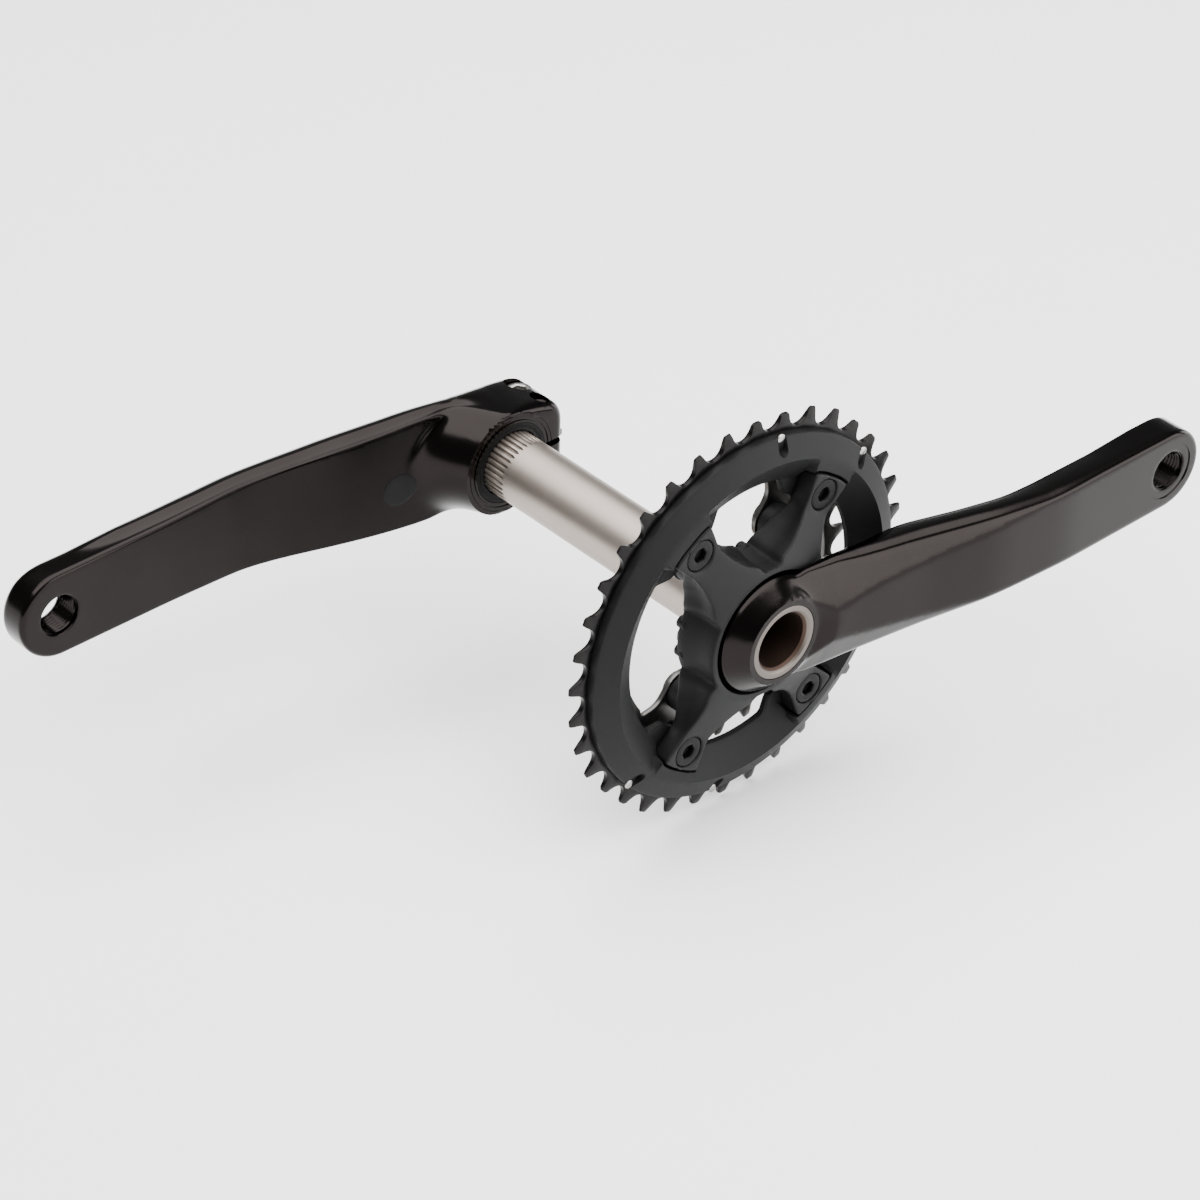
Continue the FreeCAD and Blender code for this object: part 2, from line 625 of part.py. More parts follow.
def make_outer_chainring():
    body = new_body("outer_chainring")
    front = -s("outer_tooth_front")
    back = front + s("tooth_thickness")
    plate = -s("outer_plate_front")
    revolve(body, "Revolution", "ring_blank", [
        (s("outer_inner_radius"), back), (s("outer_inner_radius"), -s("outer_inner_front")),
        (s("outer_crest_radius"), -s("outer_crest_front")), (s("outer_plate_radius"), plate),
        (s("outer_plate_radius"), front)]
        + toothed_rim(s("outer_tip_radius"), front, back))
    ear = s("ear_half_width")
    pocket = s("pocket_half_width")
    reach = s("pocket_reach")
    ear_back = s("outer_tooth_front") - s("tooth_thickness")
    cover = s("cover_half_width")
    above = s("outer_crest_front") + 1.0
    for number, angle in enumerate(BOLT_ANGLES, start=1):
        ear_outline = new_sketch(body, "ear_outline_%d" % number, "XZ_Plane", ear_back, angle)
        outline(ear_outline, [
            (s("ear_reach"), 3.0 - ear), (s("ear_reach") + 4.0, -ear), (58.0, -ear - 3.0),
            (58.0, ear + 3.0), (s("ear_reach") + 4.0, ear), (s("ear_reach"), ear - 3.0)])
        feature(body, "Pad", "ear_%d" % number, ear_outline, s("outer_inner_front") - ear_back)
        # A cover as high as the crest closes round the end of the spider's tip.
        cover_outline = new_sketch(body, "cover_outline_%d" % number, "XZ_Plane", ear_back, angle)
        outline(cover_outline, [
            (reach - 1.6, -cover), (s("cover_reach"), -cover), (s("cover_reach"), cover), (reach - 1.6, cover)])
        feature(body, "Pad", "cover_%d" % number, cover_outline, s("outer_crest_front") - ear_back)
        pocket_outline = new_sketch(body, "pocket_outline_%d" % number, "XZ_Plane", above, angle)
        outline(pocket_outline, [
            (s("ear_reach") - 2.0, -pocket), (reach - 1.6, -pocket), (reach, 2.6 - pocket),
            (reach, pocket - 2.6), (reach - 1.6, pocket), (s("ear_reach") - 2.0, pocket)])
        feature(body, "Pocket", "tip_pocket_%d" % number, pocket_outline, above - s("spider_arm_back"))
        hole = new_sketch(body, "bolt_hole_%d" % number, "XZ_Plane", s("outer_plate_front"), angle)
        circle(hole, s("outer_bolt_circle"), 0.0, s("ring_nut_radius"))
        feature(body, "Pocket", "bolt_hole_cut_%d" % number, hole)
    # Each shift pin stands in a scoop that is open at the rim.
    scoop = s("pin_scoop_half_width")
    scoop_end = s("pin_scoop_reach")
    open_end = s("outer_plate_radius") + 1.2
    for number, angle in enumerate(SHIFT_PIN_ANGLES, start=1):
        scoop_outline = new_sketch(body, "pin_scoop_%d" % number, "XZ_Plane", above, angle)
        outline(scoop_outline, [
            (open_end, -scoop), (open_end, scoop), (scoop_end, scoop, scoop), (scoop_end, -scoop)])
        feature(body, "Pocket", "pin_scoop_cut_%d" % number, scoop_outline, above - s("outer_plate_front"))
        hole = new_sketch(body, "pin_hole_%d" % number, "XZ_Plane", s("outer_plate_front"), angle)
        circle(hole, s("shift_pin_circle"), 0.0, s("shift_pin_radius") - 0.4)
        feature(body, "Pocket", "pin_hole_cut_%d" % number, hole)
    seat = new_sketch(body, "drop_pin_seat", "XZ_Plane", above)
    circle(seat, s("drop_pin_circle"), 0.0, s("drop_pin_radius"))
    feature(body, "Pocket", "drop_pin_seat_cut", seat, above - s("outer_plate_front"))
    hole = new_sketch(body, "drop_pin_hole", "XZ_Plane", s("outer_plate_front"))
    circle(hole, s("drop_pin_circle"), 0.0, s("drop_pin_radius") - 0.5)
    feature(body, "Pocket", "drop_pin_hole_cut", hole)
    cut_teeth(body, "outer_teeth", SIZES["outer_first_gap"], s("outer_plate_front"))
    return body


def make_inner_chainring():
    body = new_body("inner_chainring")
    front = -s("inner_front")
    back = front + s("tooth_thickness")
    revolve(body, "Revolution", "ring_blank", [
        (s("inner_inner_radius"), back), (s("inner_inner_radius"), front)]
        + toothed_rim(s("inner_tip_radius"), front, back))
    tab = s("tab_radius")
    spot = s("inner_bolt_circle")
    rim = s("inner_inner_radius") + 2.0
    for number, angle in enumerate(BOLT_ANGLES, start=1):
        tab_outline = new_sketch(body, "tab_outline_%d" % number, "XZ_Plane",
                                 s("inner_front") - s("tooth_thickness"), angle)
        outline(tab_outline, [
            (rim, tab + 3.0), (rim - 5.0, tab), (spot, tab, tab), (spot, -tab), (rim - 5.0, -tab),
            (rim, -tab - 3.0)])
        feature(body, "Pad", "tab_%d" % number, tab_outline, s("tooth_thickness"))
        hole = new_sketch(body, "bolt_hole_%d" % number, "XZ_Plane", s("inner_front"), angle)
        circle(hole, spot, 0.0, s("ring_bolt_radius"))
        feature(body, "Pocket", "bolt_hole_cut_%d" % number, hole)
    cut_teeth(body, "inner_teeth", 0.0, s("inner_front") + 1.0)
    return body


# Fasteners of the rings, four of each.

def make_ring_fasteners():
    bolt = s("ring_bolt_radius")
    head = s("ring_bolt_head_radius")
    socket = bolt - 1.4
    head_front = -s("spider_tip_front")
    head_back = head_front + s("ring_bolt_head_length")
    nut_seat = s("tooth_thickness") - s("outer_tooth_front")
    nut_back = nut_seat + s("ring_nut_head_length")
    sleeve_front = nut_seat - s("ring_nut_sleeve")
    tab_back = s("tooth_thickness") - s("inner_front")
    inner_head = tab_back + s("inner_bolt_head_length")
    pin_front = -s("outer_plate_front")
    pin = s("shift_pin_radius")
    pin_shank = pin - 0.4
    pieces = []
    for number, angle in enumerate(BOLT_ANGLES, start=1):
        bolt_body = turned("chainring_bolt_%d" % number, [
            (0.0, head_front + 1.8), (socket, head_front + 1.8), (socket, head_front), (head - 0.4, head_front),
            (head, head_front + 0.4), (head, head_back), (bolt, head_back), (bolt, nut_back - 0.4),
            (0.0, nut_back - 0.4)])
        place_round(bolt_body, s("outer_bolt_circle"), angle)
        nut_body = turned("chainring_nut_%d" % number, [
            (bolt, sleeve_front), (s("ring_nut_radius"), sleeve_front), (s("ring_nut_radius"), nut_seat),
            (s("ring_nut_head_radius"), nut_seat), (s("ring_nut_head_radius"), nut_back), (bolt, nut_back)])
        place_round(nut_body, s("outer_bolt_circle"), angle)
        inner_body = turned("inner_ring_bolt_%d" % number, [
            (0.0, inner_head - 1.4), (socket, inner_head - 1.4), (socket, inner_head), (head, inner_head),
            (head, tab_back), (bolt, tab_back), (bolt, tab_back - s("inner_bolt_length")),
            (0.0, tab_back - s("inner_bolt_length"))])
        place_round(inner_body, s("inner_bolt_circle"), angle)
        pieces += [bolt_body, nut_body, inner_body]
    for number, angle in enumerate(SHIFT_PIN_ANGLES, start=1):
        pin_body = turned("shift_pin_%d" % number, [
            (0.0, pin_front - s("shift_pin_proud")), (pin - 0.3, pin_front - s("shift_pin_proud")),
            (pin, pin_front), (pin_shank, pin_front), (pin_shank, nut_seat + 0.3), (0.0, nut_seat + 0.3)])
        place_round(pin_body, s("shift_pin_circle"), angle)
        pieces.append(pin_body)
    drop = s("drop_pin_radius")
    drop_end = pin_front - s("drop_pin_length")
    drop_body = turned("chain_drop_pin", [
        (0.0, drop_end), (drop - 0.5, drop_end), (drop, drop_end + 0.5), (drop, pin_front),
        (drop - 0.5, pin_front), (drop - 0.5, nut_seat), (0.0, nut_seat)])
    place_round(drop_body, s("drop_pin_circle"), 0.0)
    pieces.append(drop_body)
    return pieces


# Left arm's small parts: the seal, the cap, the two pinch bolts and the stopper between them.

def make_left_fittings():
    inner = s("left_hub_inner")
    seal = turned("left_arm_seal", [
        (s("spindle_radius") + 0.35, inner), (s("seal_radius"), inner),
        (s("seal_radius"), inner + s("seal_length")), (s("spindle_radius") + 0.35, inner + s("seal_length"))])
    flange_back = s("left_hub_outer") - s("cap_recess_depth") + 0.1
    flange_front = s("left_hub_outer") - 0.6
    shank = s("cap_shank_radius")
    socket = s("cap_socket_radius")
    cap = turned("preload_cap", [
        (socket, flange_back - s("cap_shank_length")), (shank, flange_back - s("cap_shank_length")),
        (shank, flange_back), (s("cap_flange_radius"), flange_back), (s("cap_flange_radius"), flange_front),
        (socket, flange_front)])
    pieces = [seal, cap]
    # Pinch bolts are turned about Y and stood upright; the inboard one points the other way.
    head = s("pinch_head_radius")
    bolt = s("pinch_bolt_radius")
    seat = s("pinch_seat")
    under_head = seat + s("washer_thickness")
    top = under_head + s("pinch_head_length")
    socket = s("pinch_socket_radius")
    for side, tilt in (("outboard", 90.0), ("inboard", -90.0)):
        bolt_body = turned("pinch_bolt_" + side, [
            (0.0, top - s("pinch_socket_depth")), (socket, top - s("pinch_socket_depth")), (socket, top),
            (head - 0.4, top), (head, top - 0.4), (head, under_head), (bolt, under_head),
            (bolt, under_head - s("pinch_shank_length")), (0.0, under_head - s("pinch_shank_length"))])
        washer_body = turned("pinch_washer_" + side, [
            (bolt, seat), (head, seat), (head, under_head), (bolt, under_head)])
        for body in (bolt_body, washer_body):
            station = s("pinch_" + side)
            body.Placement = Placement(Vector(SIZES["pinch_reach"], station.value, 0),
                                       Rotation(Vector(1, 0, 0), tilt))
            body.setExpression("Placement.Base.x", "Sizes.pinch_reach")
            body.setExpression("Placement.Base.y", station.text)
            pieces.append(body)
    return pieces


def make_stopper():
    """The plate turns on the outboard pinch bolt, inside the clamp slot; its pin points at the spindle."""
    body = new_body("stopper_plate")
    reach = s("pinch_reach")
    hinge = s("pinch_outboard")
    thickness = s("stopper_thickness")
    hub = new_sketch(body, "hub_outline", "XY_Plane")
    circle(hub, reach, hinge, s("stopper_hub_radius"))
    feature(body, "Pad", "hub", hub, thickness, both_ways=True)
    bar_inner = s("stopper_bar_inner")
    bar_outer = s("stopper_bar_outer")
    foot = s("stopper_foot")
    bar = new_sketch(body, "bar_outline", "XY_Plane")
    outline(bar, [
        (reach, hinge - 2.6), (bar_inner, hinge - 2.6), (bar_inner, foot), (bar_outer, foot),
        (s("stopper_nub"), foot + 0.6), (s("stopper_nub"), foot + 2.4), (bar_outer, foot + 3.2),
        (bar_outer, hinge + 2.0), (reach, hinge + 2.0)])
    feature(body, "Pad", "bar", bar, thickness, both_ways=True)
    web_end = s("stopper_web_end")
    pin_station = s("stopper_pin_station")
    web = new_sketch(body, "web_outline", "XY_Plane")
    outline(web, [
        (web_end, pin_station - 0.9), (reach, pin_station - 0.9), (reach, hinge - 2.0), (web_end, hinge - 2.0)])
    feature(body, "Pad", "web", web, thickness, both_ways=True)
    bore = new_sketch(body, "bore", "XY_Plane")
    circle(bore, reach, hinge, s("stopper_bore_radius"))
    feature(body, "Pocket", "bore_cut", bore, both_ways=True)
    socket = new_sketch(body, "pin_socket", "YZ_Plane", s("stopper_pin_root"))
    circle(socket, pin_station, 0.0, s("stopper_pin_radius"))
    feature(body, "Pocket", "pin_socket_cut", socket, s("stopper_pin_root") - web_end + 1.0)

    pin = doc.addObject("Part::Cylinder", "stopper_pin")
    pin.Label = "stopper_pin"
    pin.setExpression("Radius", "Sizes.stopper_pin_radius")
    pin.setExpression("Height", "Sizes.stopper_pin_root - Sizes.stopper_pin_tip")
    pin.Placement = Placement(Vector(SIZES["stopper_pin_tip"], pin_station.value, 0),
                              Rotation(Vector(0, 1, 0), 90))
    pin.setExpression("Placement.Base.x", "Sizes.stopper_pin_tip")
    pin.setExpression("Placement.Base.y", "Sizes.stopper_pin_station")
    return [body, pin]


nodes = [make_spindle(), make_right_arm(), make_spider(), make_outer_chainring(), make_inner_chainring()]
nodes += make_ring_fasteners()
nodes += [make_left_arm()] + make_left_fittings() + make_stopper()
doc.recompute()

for item in doc.Objects:
    if "Invalid" in item.State or "Error" in item.State:
        raise RuntimeError("%s failed to build: %s" % (item.Name, item.State))

os.makedirs("parts", exist_ok=True)
for node in nodes:
    shape = node.Shape
    if shape.isNull() or not shape.isValid() or len(shape.Solids) != 1:
        raise RuntimeError("%s isn't one valid solid" % node.Label)
    shape.exportStep("parts/%s.step" % node.Label)
    box = shape.BoundBox
    print("%-22s %9.1f mm3  x %7.1f %7.1f  y %7.1f %7.1f  z %7.1f %7.1f" % (
        node.Label, shape.Volume, box.XMin, box.XMax, box.YMin, box.YMax, box.ZMin, box.ZMax))
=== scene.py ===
import math
import bmesh
import bpy
import numpy as np
from mathutils import Euler, Matrix, Vector, geometry, kdtree


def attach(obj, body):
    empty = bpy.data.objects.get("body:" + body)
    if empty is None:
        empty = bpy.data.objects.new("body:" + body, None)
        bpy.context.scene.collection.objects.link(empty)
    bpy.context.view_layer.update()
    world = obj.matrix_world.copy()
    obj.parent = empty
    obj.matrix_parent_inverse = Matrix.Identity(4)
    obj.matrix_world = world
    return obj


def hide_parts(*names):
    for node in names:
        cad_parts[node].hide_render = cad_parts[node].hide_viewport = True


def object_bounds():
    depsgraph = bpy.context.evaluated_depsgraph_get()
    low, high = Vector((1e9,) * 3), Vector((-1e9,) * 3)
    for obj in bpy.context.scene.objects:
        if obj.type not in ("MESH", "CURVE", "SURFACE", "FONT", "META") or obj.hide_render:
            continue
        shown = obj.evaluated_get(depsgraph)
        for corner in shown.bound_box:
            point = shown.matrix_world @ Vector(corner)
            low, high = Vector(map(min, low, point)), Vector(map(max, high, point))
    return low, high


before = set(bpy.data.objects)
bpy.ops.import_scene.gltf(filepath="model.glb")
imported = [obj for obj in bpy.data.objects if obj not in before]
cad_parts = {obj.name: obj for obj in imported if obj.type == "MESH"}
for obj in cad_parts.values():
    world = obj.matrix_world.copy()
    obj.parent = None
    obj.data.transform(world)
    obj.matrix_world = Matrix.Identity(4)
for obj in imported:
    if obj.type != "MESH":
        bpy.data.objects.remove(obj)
cad_low, cad_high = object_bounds()

# Studio: a wide pale floor under the lowest tooth, a pale room and large soft lamps, and the camera
# above the end of the spindle, towards the front of the drive side.
MM = 0.001
scene = bpy.context.scene


class Wire:
    """One socket of a node tree. Sums on it add Math nodes, and node() adds any other node."""

    def __init__(self, tree, socket=None):
        self.tree = tree
        self.socket = socket

    def node(self, kind, settings=(), sockets=(), output=0):
        made = self.tree.nodes.new(kind)
        for key, value in dict(settings).items():
            setattr(made, key, value)
        for key, value in dict(sockets).items():
            if isinstance(value, Wire):
                self.tree.links.new(value.socket, made.inputs[key])
            else:
                made.inputs[key].default_value = value
        return Wire(self.tree, made.outputs[output])

    def maths(self, operation, first, second):
        return self.node("ShaderNodeMath", {"operation": operation}, {0: first, 1: second})

    def __add__(self, other):
        return self.maths("ADD", self, other)

    def __radd__(self, other):
        return self.maths("ADD", other, self)

    def __sub__(self, other):
        return self.maths("SUBTRACT", self, other)

    def __rsub__(self, other):
        return self.maths("SUBTRACT", other, self)

    def __mul__(self, other):
        return self.maths("MULTIPLY", self, other)

    def __rmul__(self, other):
        return self.maths("MULTIPLY", other, self)

    def above(self, level, width):
        """0 below the level, 1 above it, and a smooth step of that width between."""
        return self.node("ShaderNodeMapRange", {"interpolation_type": "SMOOTHSTEP"}, {
            "Value": self, "From Min": level - width / 2, "From Max": level + width / 2})


def mix_colours(low, high, share):
    return share.node("ShaderNodeMix", {"data_type": "RGBA"}, {"Factor": share, 6: low, 7: high}, output=2)


def new_finish(name, fixed):
    """A material, the wire that its nodes start from, and its shader. What is the same all over is fixed."""
    material = bpy.data.materials.new(name)
    material.use_nodes = True
    shader = material.node_tree.nodes["Principled BSDF"]
    for key, value in fixed.items():
        shader.inputs[key].default_value = value
    return material, Wire(material.node_tree), shader


def connect(wire, shader, key):
    wire.tree.links.new(wire.socket, shader.inputs[key])


def place_in_millimetres(wire):
    """The place on the surface in the part's own frame."""
    spot = wire.node("ShaderNodeTexCoord", output=3)
    return wire.node("ShaderNodeVectorMath", {"operation": "SCALE"}, {0: spot, "Scale": 1000.0})


def split(vector):
    return [vector.node("ShaderNodeSeparateXYZ", (), {0: vector}, output=k) for k in range(3)]


def axis_distance(spot):
    """The distance from the spindle's axis."""
    x, _, z = split(spot)
    flat = spot.node("ShaderNodeCombineXYZ", (), {0: x, 2: z})
    return spot.node("ShaderNodeVectorMath", {"operation": "LENGTH"}, {0: flat}, output=1)


def noise(place, scale, detail=2.0, roughness=0.5, stretch=None):
    if stretch:
        place = place.node("ShaderNodeVectorMath", {"operation": "MULTIPLY"}, {0: place, 1: stretch})
    return place.node("ShaderNodeTexNoise", (), {
        "Vector": place, "Scale": scale, "Detail": detail, "Roughness": roughness})


def bumped(height, shader, depth):
    """Raise the surface by the height, whose full scale is depth millimetres."""
    bump = height.node("ShaderNodeBump", (), {"Height": height, "Strength": 1.0, "Distance": depth * MM})
    connect(bump, shader, "Normal")


camera_data = bpy.data.cameras.new("camera")
camera_data.lens = 127.556
camera_data.sensor_width = 36.0
camera_data.clip_start = 0.05
camera_data.clip_end = 60.0
camera = bpy.data.objects.new("camera", camera_data)
camera.location = (-0.79993, -0.83906, 0.82740)
camera.rotation_euler = Euler([math.radians(turn) for turn in (53.6811, -1.3785, -42.1187)], "XYZ")
scene.collection.objects.link(camera)
scene.camera = camera

floor_level = cad_low.z - 0.0003
floor_mesh = bpy.data.meshes.new("floor")
floor_corners = [(x, y, floor_level) for x, y in ((-9, -9), (9, -9), (9, 9), (-9, 9))]
floor_mesh.from_pydata(floor_corners, [], [(0, 1, 2, 3)])
floor = bpy.data.objects.new("floor", floor_mesh)
scene.collection.objects.link(floor)
paint, wire, shader = new_finish("floor_paint", {"Roughness": 0.9, "Specular IOR Level": 0.1})
speck = noise(place_in_millimetres(wire), 0.02, 3.0)
connect(mix_colours((0.93, 0.93, 0.93, 1), (0.95, 0.95, 0.95, 1), speck), shader, "Base Color")
floor_mesh.materials.append(paint)

world = bpy.data.worlds.new("room")
scene.world = world
world.use_nodes = True
world.node_tree.nodes["Background"].inputs["Color"].default_value = (1.0, 1.0, 1.0, 1.0)
world.node_tree.nodes["Background"].inputs["Strength"].default_value = 0.30


def soft_lamp(name, place, target, width, height, power):
    data = bpy.data.lights.new(name, "AREA")
    data.shape = "RECTANGLE"
    data.size = width
    data.size_y = height
    data.energy = power
    lamp = bpy.data.objects.new(name, data)
    lamp.visible_camera = False
    lamp.location = place
    lamp.rotation_euler = (Vector(target) - Vector(place)).to_track_quat("-Z", "Y").to_euler()
    scene.collection.objects.link(lamp)


soft_lamp("lamp_overhead", (-0.1, -0.1, 1.6), (-0.1, -0.1, 0.0), 2.8, 2.8, 165.0)
soft_lamp("lamp_front", (0.72, -1.08, 0.27), (0.08, -0.06, 0.02), 1.3, 0.68, 21.0)
soft_lamp("lamp_right", (1.5, -0.25, 0.16), (-0.17, 0.0, 0.0), 0.6, 0.5, 5.0)


# Spindle: a hollow steel tube, 24 mm across, pressed into the drive-side arm. Its flange shows as a
# bright ring in the arm, and 36 rolled splines at the other end run out to points in the tube.
crisp_angle = 32.0


def shape_of(points, faces):
    return np.asarray(points, float), [tuple(int(i) for i in face) for face in faces]


def together(*shapes):
    """Several closed shapes as one."""
    points, faces, start = [], [], 0
    for corner, sides in shapes:
        points.append(corner)
        faces += [tuple(i + start for i in side) for side in sides]
        start += len(corner)
    return np.vstack(points), faces


def soften(line, radius, steps=4, closed=True):
    """The line with its corners rounded; a corner is (x, y) or (x, y, its own radius)."""
    made = []
    count = len(line)
    for k, corner in enumerate(line):
        here = np.array(corner[:2], float)
        if not closed and k in (0, count - 1):
            made.append(here)
            continue
        before = np.array(line[k - 1][:2], float) - here
        after = np.array(line[(k + 1) % count][:2], float) - here
        own = corner[2] if len(corner) > 2 else radius
        reach = min(own, 0.45 * np.linalg.norm(before), 0.45 * np.linalg.norm(after))
        if reach < 1e-3:
            made.append(here)
            continue
        start = here + before / np.linalg.norm(before) * reach
        end = here + after / np.linalg.norm(after) * reach
        for step in range(steps + 1):
            t = step / steps
            made.append((1 - t) ** 2 * start + 2 * t * (1 - t) * here + t * t * end)
    return np.array(made)


def turned(profile, steps=96, radius=0.0):
    """A ring or a tube about Y from a closed profile of (radius, y)."""
    profile = soften(profile, radius) if radius else np.array(profile, float)
    rows, points, faces = len(profile), [], []
    for k in range(steps):
        angle = 2 * math.pi * k / steps
        points += [(r * math.cos(angle), y, r * math.sin(angle)) for r, y in profile]
    for k in range(steps):
        for j in range(rows):
            a, b = k * rows + j, k * rows + (j + 1) % rows
            c, d = (k + 1) % steps * rows + (j + 1) % rows, (k + 1) % steps * rows + j
            faces.append((a, b, c, d))
    return shape_of(points, faces)


def moved(shape, turn=None, shift=(0.0, 0.0, 0.0)):
    points, faces = shape
    if turn is not None:
        points = points @ np.array(turn.to_3x3()).T
    return points + np.array(shift), faces


def as_mesh(name, shape, crisp=crisp_angle):
    points, faces = shape
    mesh = bpy.data.meshes.new(name)
    mesh.from_pydata((points * MM).tolist(), [], faces)
    work = bmesh.new()
    work.from_mesh(mesh)
    bmesh.ops.remove_doubles(work, verts=work.verts, dist=1.5e-6)
    bmesh.ops.dissolve_degenerate(work, edges=work.edges, dist=5e-7)
    bmesh.ops.recalc_face_normals(work, faces=work.faces)
    work.to_mesh(mesh)
    work.free()
    mesh.shade_smooth()
    mesh.set_sharp_from_angle(angle=math.radians(crisp))
    return mesh


def new_piece(name, shape, finish, body, slot, *nodes, crisp=crisp_angle):
    """A piece that rides on a body, takes the finish and stands for those nodes. The slot is not used."""
    piece = bpy.data.objects.new(name, as_mesh(name, shape, crisp))
    piece.data.materials.append(finish)
    scene.collection.objects.link(piece)
    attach(piece, body)
    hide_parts(*nodes)
    return piece


spindle_finish, wire, shader = new_finish("satin_nickel", {"Metallic": 1.0})
spot = place_in_millimetres(wire)
station = split(spot)[1]
distance = axis_distance(spot)
lathe_lines = noise(spot, 1.0, 3.0, 0.65, stretch=(0.03, 5.0, 0.03))
clouds = noise(spot, 0.08, 3.0)
# Painted shade: inside the bore the tube is painted a dark brown (mixed in below), where shade falls in the
# hollow.
outside = distance.above(10.9, 0.4)
shade = mix_colours((0.33, 0.285, 0.250, 1), (0.41, 0.355, 0.315, 1), lathe_lines * 0.5 + clouds * 0.5)
shade = mix_colours((0.12, 0.104, 0.093, 1), shade, station.above(-71.5, 1.0))
# Painted shade: the spline grooves at the left end are painted darker, where shade falls in them.
groove = (1 - distance.above(11.72, 0.3)) * station.above(51.0, 0.4)
shade = mix_colours(shade, (0.16, 0.135, 0.115, 1), groove)
connect(mix_colours((0.055, 0.036, 0.028, 1), shade, outside), shader, "Base Color")
connect(0.34 + lathe_lines * 0.12 + (1 - outside) * 0.15, shader, "Roughness")
bumped(lathe_lines * 0.6 + noise(spot, 6.0, 2.0) * 0.4, shader, 0.006)

tube_radius = 12.0
spline_count = 36
spline_depth = 0.75
run_out_start, run_out_end = 51.8, 53.4
gap_half_width = 1.5
per_spline = 14
around = spline_count * per_spline
stations = np.concatenate([[-71.0, -70.9], np.linspace(-60, 50, 12),
                           np.linspace(run_out_start, run_out_end, 15), np.linspace(56, 66.9, 8), [67.2, 67.5]])
points, faces = [], []
for row, station in enumerate(stations):
    deep = spline_depth * min(1.0, max(0.0, (station - run_out_start) / (run_out_end - run_out_start)))
    chamfer = max(0.0, station - 67.0)
    for k in range(around):
        angle = 2 * math.pi * (k + 0.5) / around
        share = abs(((math.degrees(angle) - 5.0) / 10.0 + 0.5) % 1.0 - 0.5) * 2
        groove = min(max(0.0, deep - share * spline_depth * 1.75), 0.5)
        side = tube_radius * math.sin(angle)
        if abs(side) < gap_half_width and math.cos(angle) > 0:
            groove = deep
        r = tube_radius - min(groove, spline_depth * 0.92) - chamfer
        points.append((r * math.cos(angle), station, r * math.sin(angle)))
rows = len(stations)
bore_line = [(9.4, 67.5), (9.4, 58.0), (9.4, -60.0), (10.1, -70.5), (10.1, -71.6), (11.45, -73.15)]
ring_line = soften([(11.45, -73.15), (11.75, -73.3), (13.3, -73.3), (13.55, -73.05), (13.55, -71.0)], 0.25,
                   closed=False)
for r, station in bore_line + [tuple(p) for p in ring_line[1:]]:
    for k in range(around):
        angle = 2 * math.pi * (k + 0.5) / around
        points.append((r * math.cos(angle), station, r * math.sin(angle)))
order = list(range(rows + len(bore_line) + len(ring_line) - 1))
for a, b in zip(order, order[1:] + order[:1]):
    for k in range(around):
        n = (k + 1) % around
        faces.append((a * around + k, a * around + n, b * around + n, b * around + k))
new_piece("spindle_tube", shape_of(points, faces), spindle_finish, "drive_side", "satin_steel", "spindle",
          crisp=24)


# Drive-side arm: forged aluminium, polished and anodised a near-black brown. A flat panel runs from the hub
# to the pedal end between two chamfers that taper out, and the hub's rim round the spindle is satin.
def inward(loop):
    """Unit normals to the left of travel, lengthened at the corners."""
    ahead = np.roll(loop, -1, 0) - loop
    behind = loop - np.roll(loop, 1, 0)
    ahead /= np.maximum(np.linalg.norm(ahead, axis=1, keepdims=True), 1e-9)
    behind /= np.maximum(np.linalg.norm(behind, axis=1, keepdims=True), 1e-9)
    mean = ahead + behind
    mean /= np.maximum(np.linalg.norm(mean, axis=1, keepdims=True), 1e-9)
    cosine = np.maximum((ahead * mean).sum(1, keepdims=True), 0.7)
    return np.stack([-mean[:, 1], mean[:, 0]], 1) / cosine


def within(spots, loops):
    """Which spots lie inside the first loop and outside the others."""
    found = np.zeros(len(spots), bool)
    for start in range(0, len(spots), 4000):
        part = spots[start:start + 4000]
        odd = np.zeros(len(part), bool)
        for loop in loops:
            ax, ay = loop[:, 0], loop[:, 1]
            bx, by = np.roll(ax, -1), np.roll(ay, -1)
            rise = np.where(np.abs(by - ay) < 1e-12, 1e-12, by - ay)
            across = (ay[None] > part[:, 1:]) != (by[None] > part[:, 1:])
            left = part[:, :1] < (bx - ax)[None] * (part[:, 1:] - ay[None]) / rise[None] + ax[None]
            odd ^= (across & left).sum(1) % 2 == 1
        found[start:start + 4000] = odd
    return found


def filled(loops, spacing, creases):
    """Triangles that fill the first loop outside the others, with edges along the creases."""
    spots, edges = [], []
    for loop in loops:
        start = len(spots)
        spots += [tuple(p) for p in loop]
        edges += [(start + k, start + (k + 1) % len(loop)) for k in range(len(loop))]
    tree = kdtree.KDTree(len(spots))
    for k, p in enumerate(spots):
        tree.insert((*p, 0.0), k)
    tree.balance()
    for line in creases:
        line = np.asarray(line, float)
        inside = within(line, loops)
        last = None
        for p, good in zip(line, inside):
            good = good and tree.find((*p, 0.0))[2] > 0.25
            if good:
                spots.append(tuple(p))
                if last is not None:
                    edges.append((last, len(spots) - 1))
            last = len(spots) - 1 if good else None
    low, high = loops[0].min(0), loops[0].max(0)
    grid = []
    for j, v in enumerate(np.arange(low[1], high[1], spacing * 0.866)):
        for u in np.arange(low[0] + (j % 2) * spacing / 2, high[0], spacing):
            grid.append((u, v))
    grid = np.array(grid)
    grid = grid[within(grid, loops)]
    crowd = kdtree.KDTree(len(spots))
    for k, p in enumerate(spots):
        crowd.insert((*p, 0.0), k)
    crowd.balance()
    spots += [tuple(p) for p in grid if crowd.find((*p, 0.0))[2] > spacing * 0.6]
    found = geometry.delaunay_2d_cdt([Vector(p) for p in spots], edges, [], 0, 1e-7, False)
    flat = np.array([tuple(v) for v in found[0]])
    triangles = np.array([t for t in found[2] if len(t) == 3])
    keep = within(flat[triangles].mean(1), loops)
    return flat, triangles[keep]


def constant(value):
    return lambda spots: np.full(len(spots), float(value))


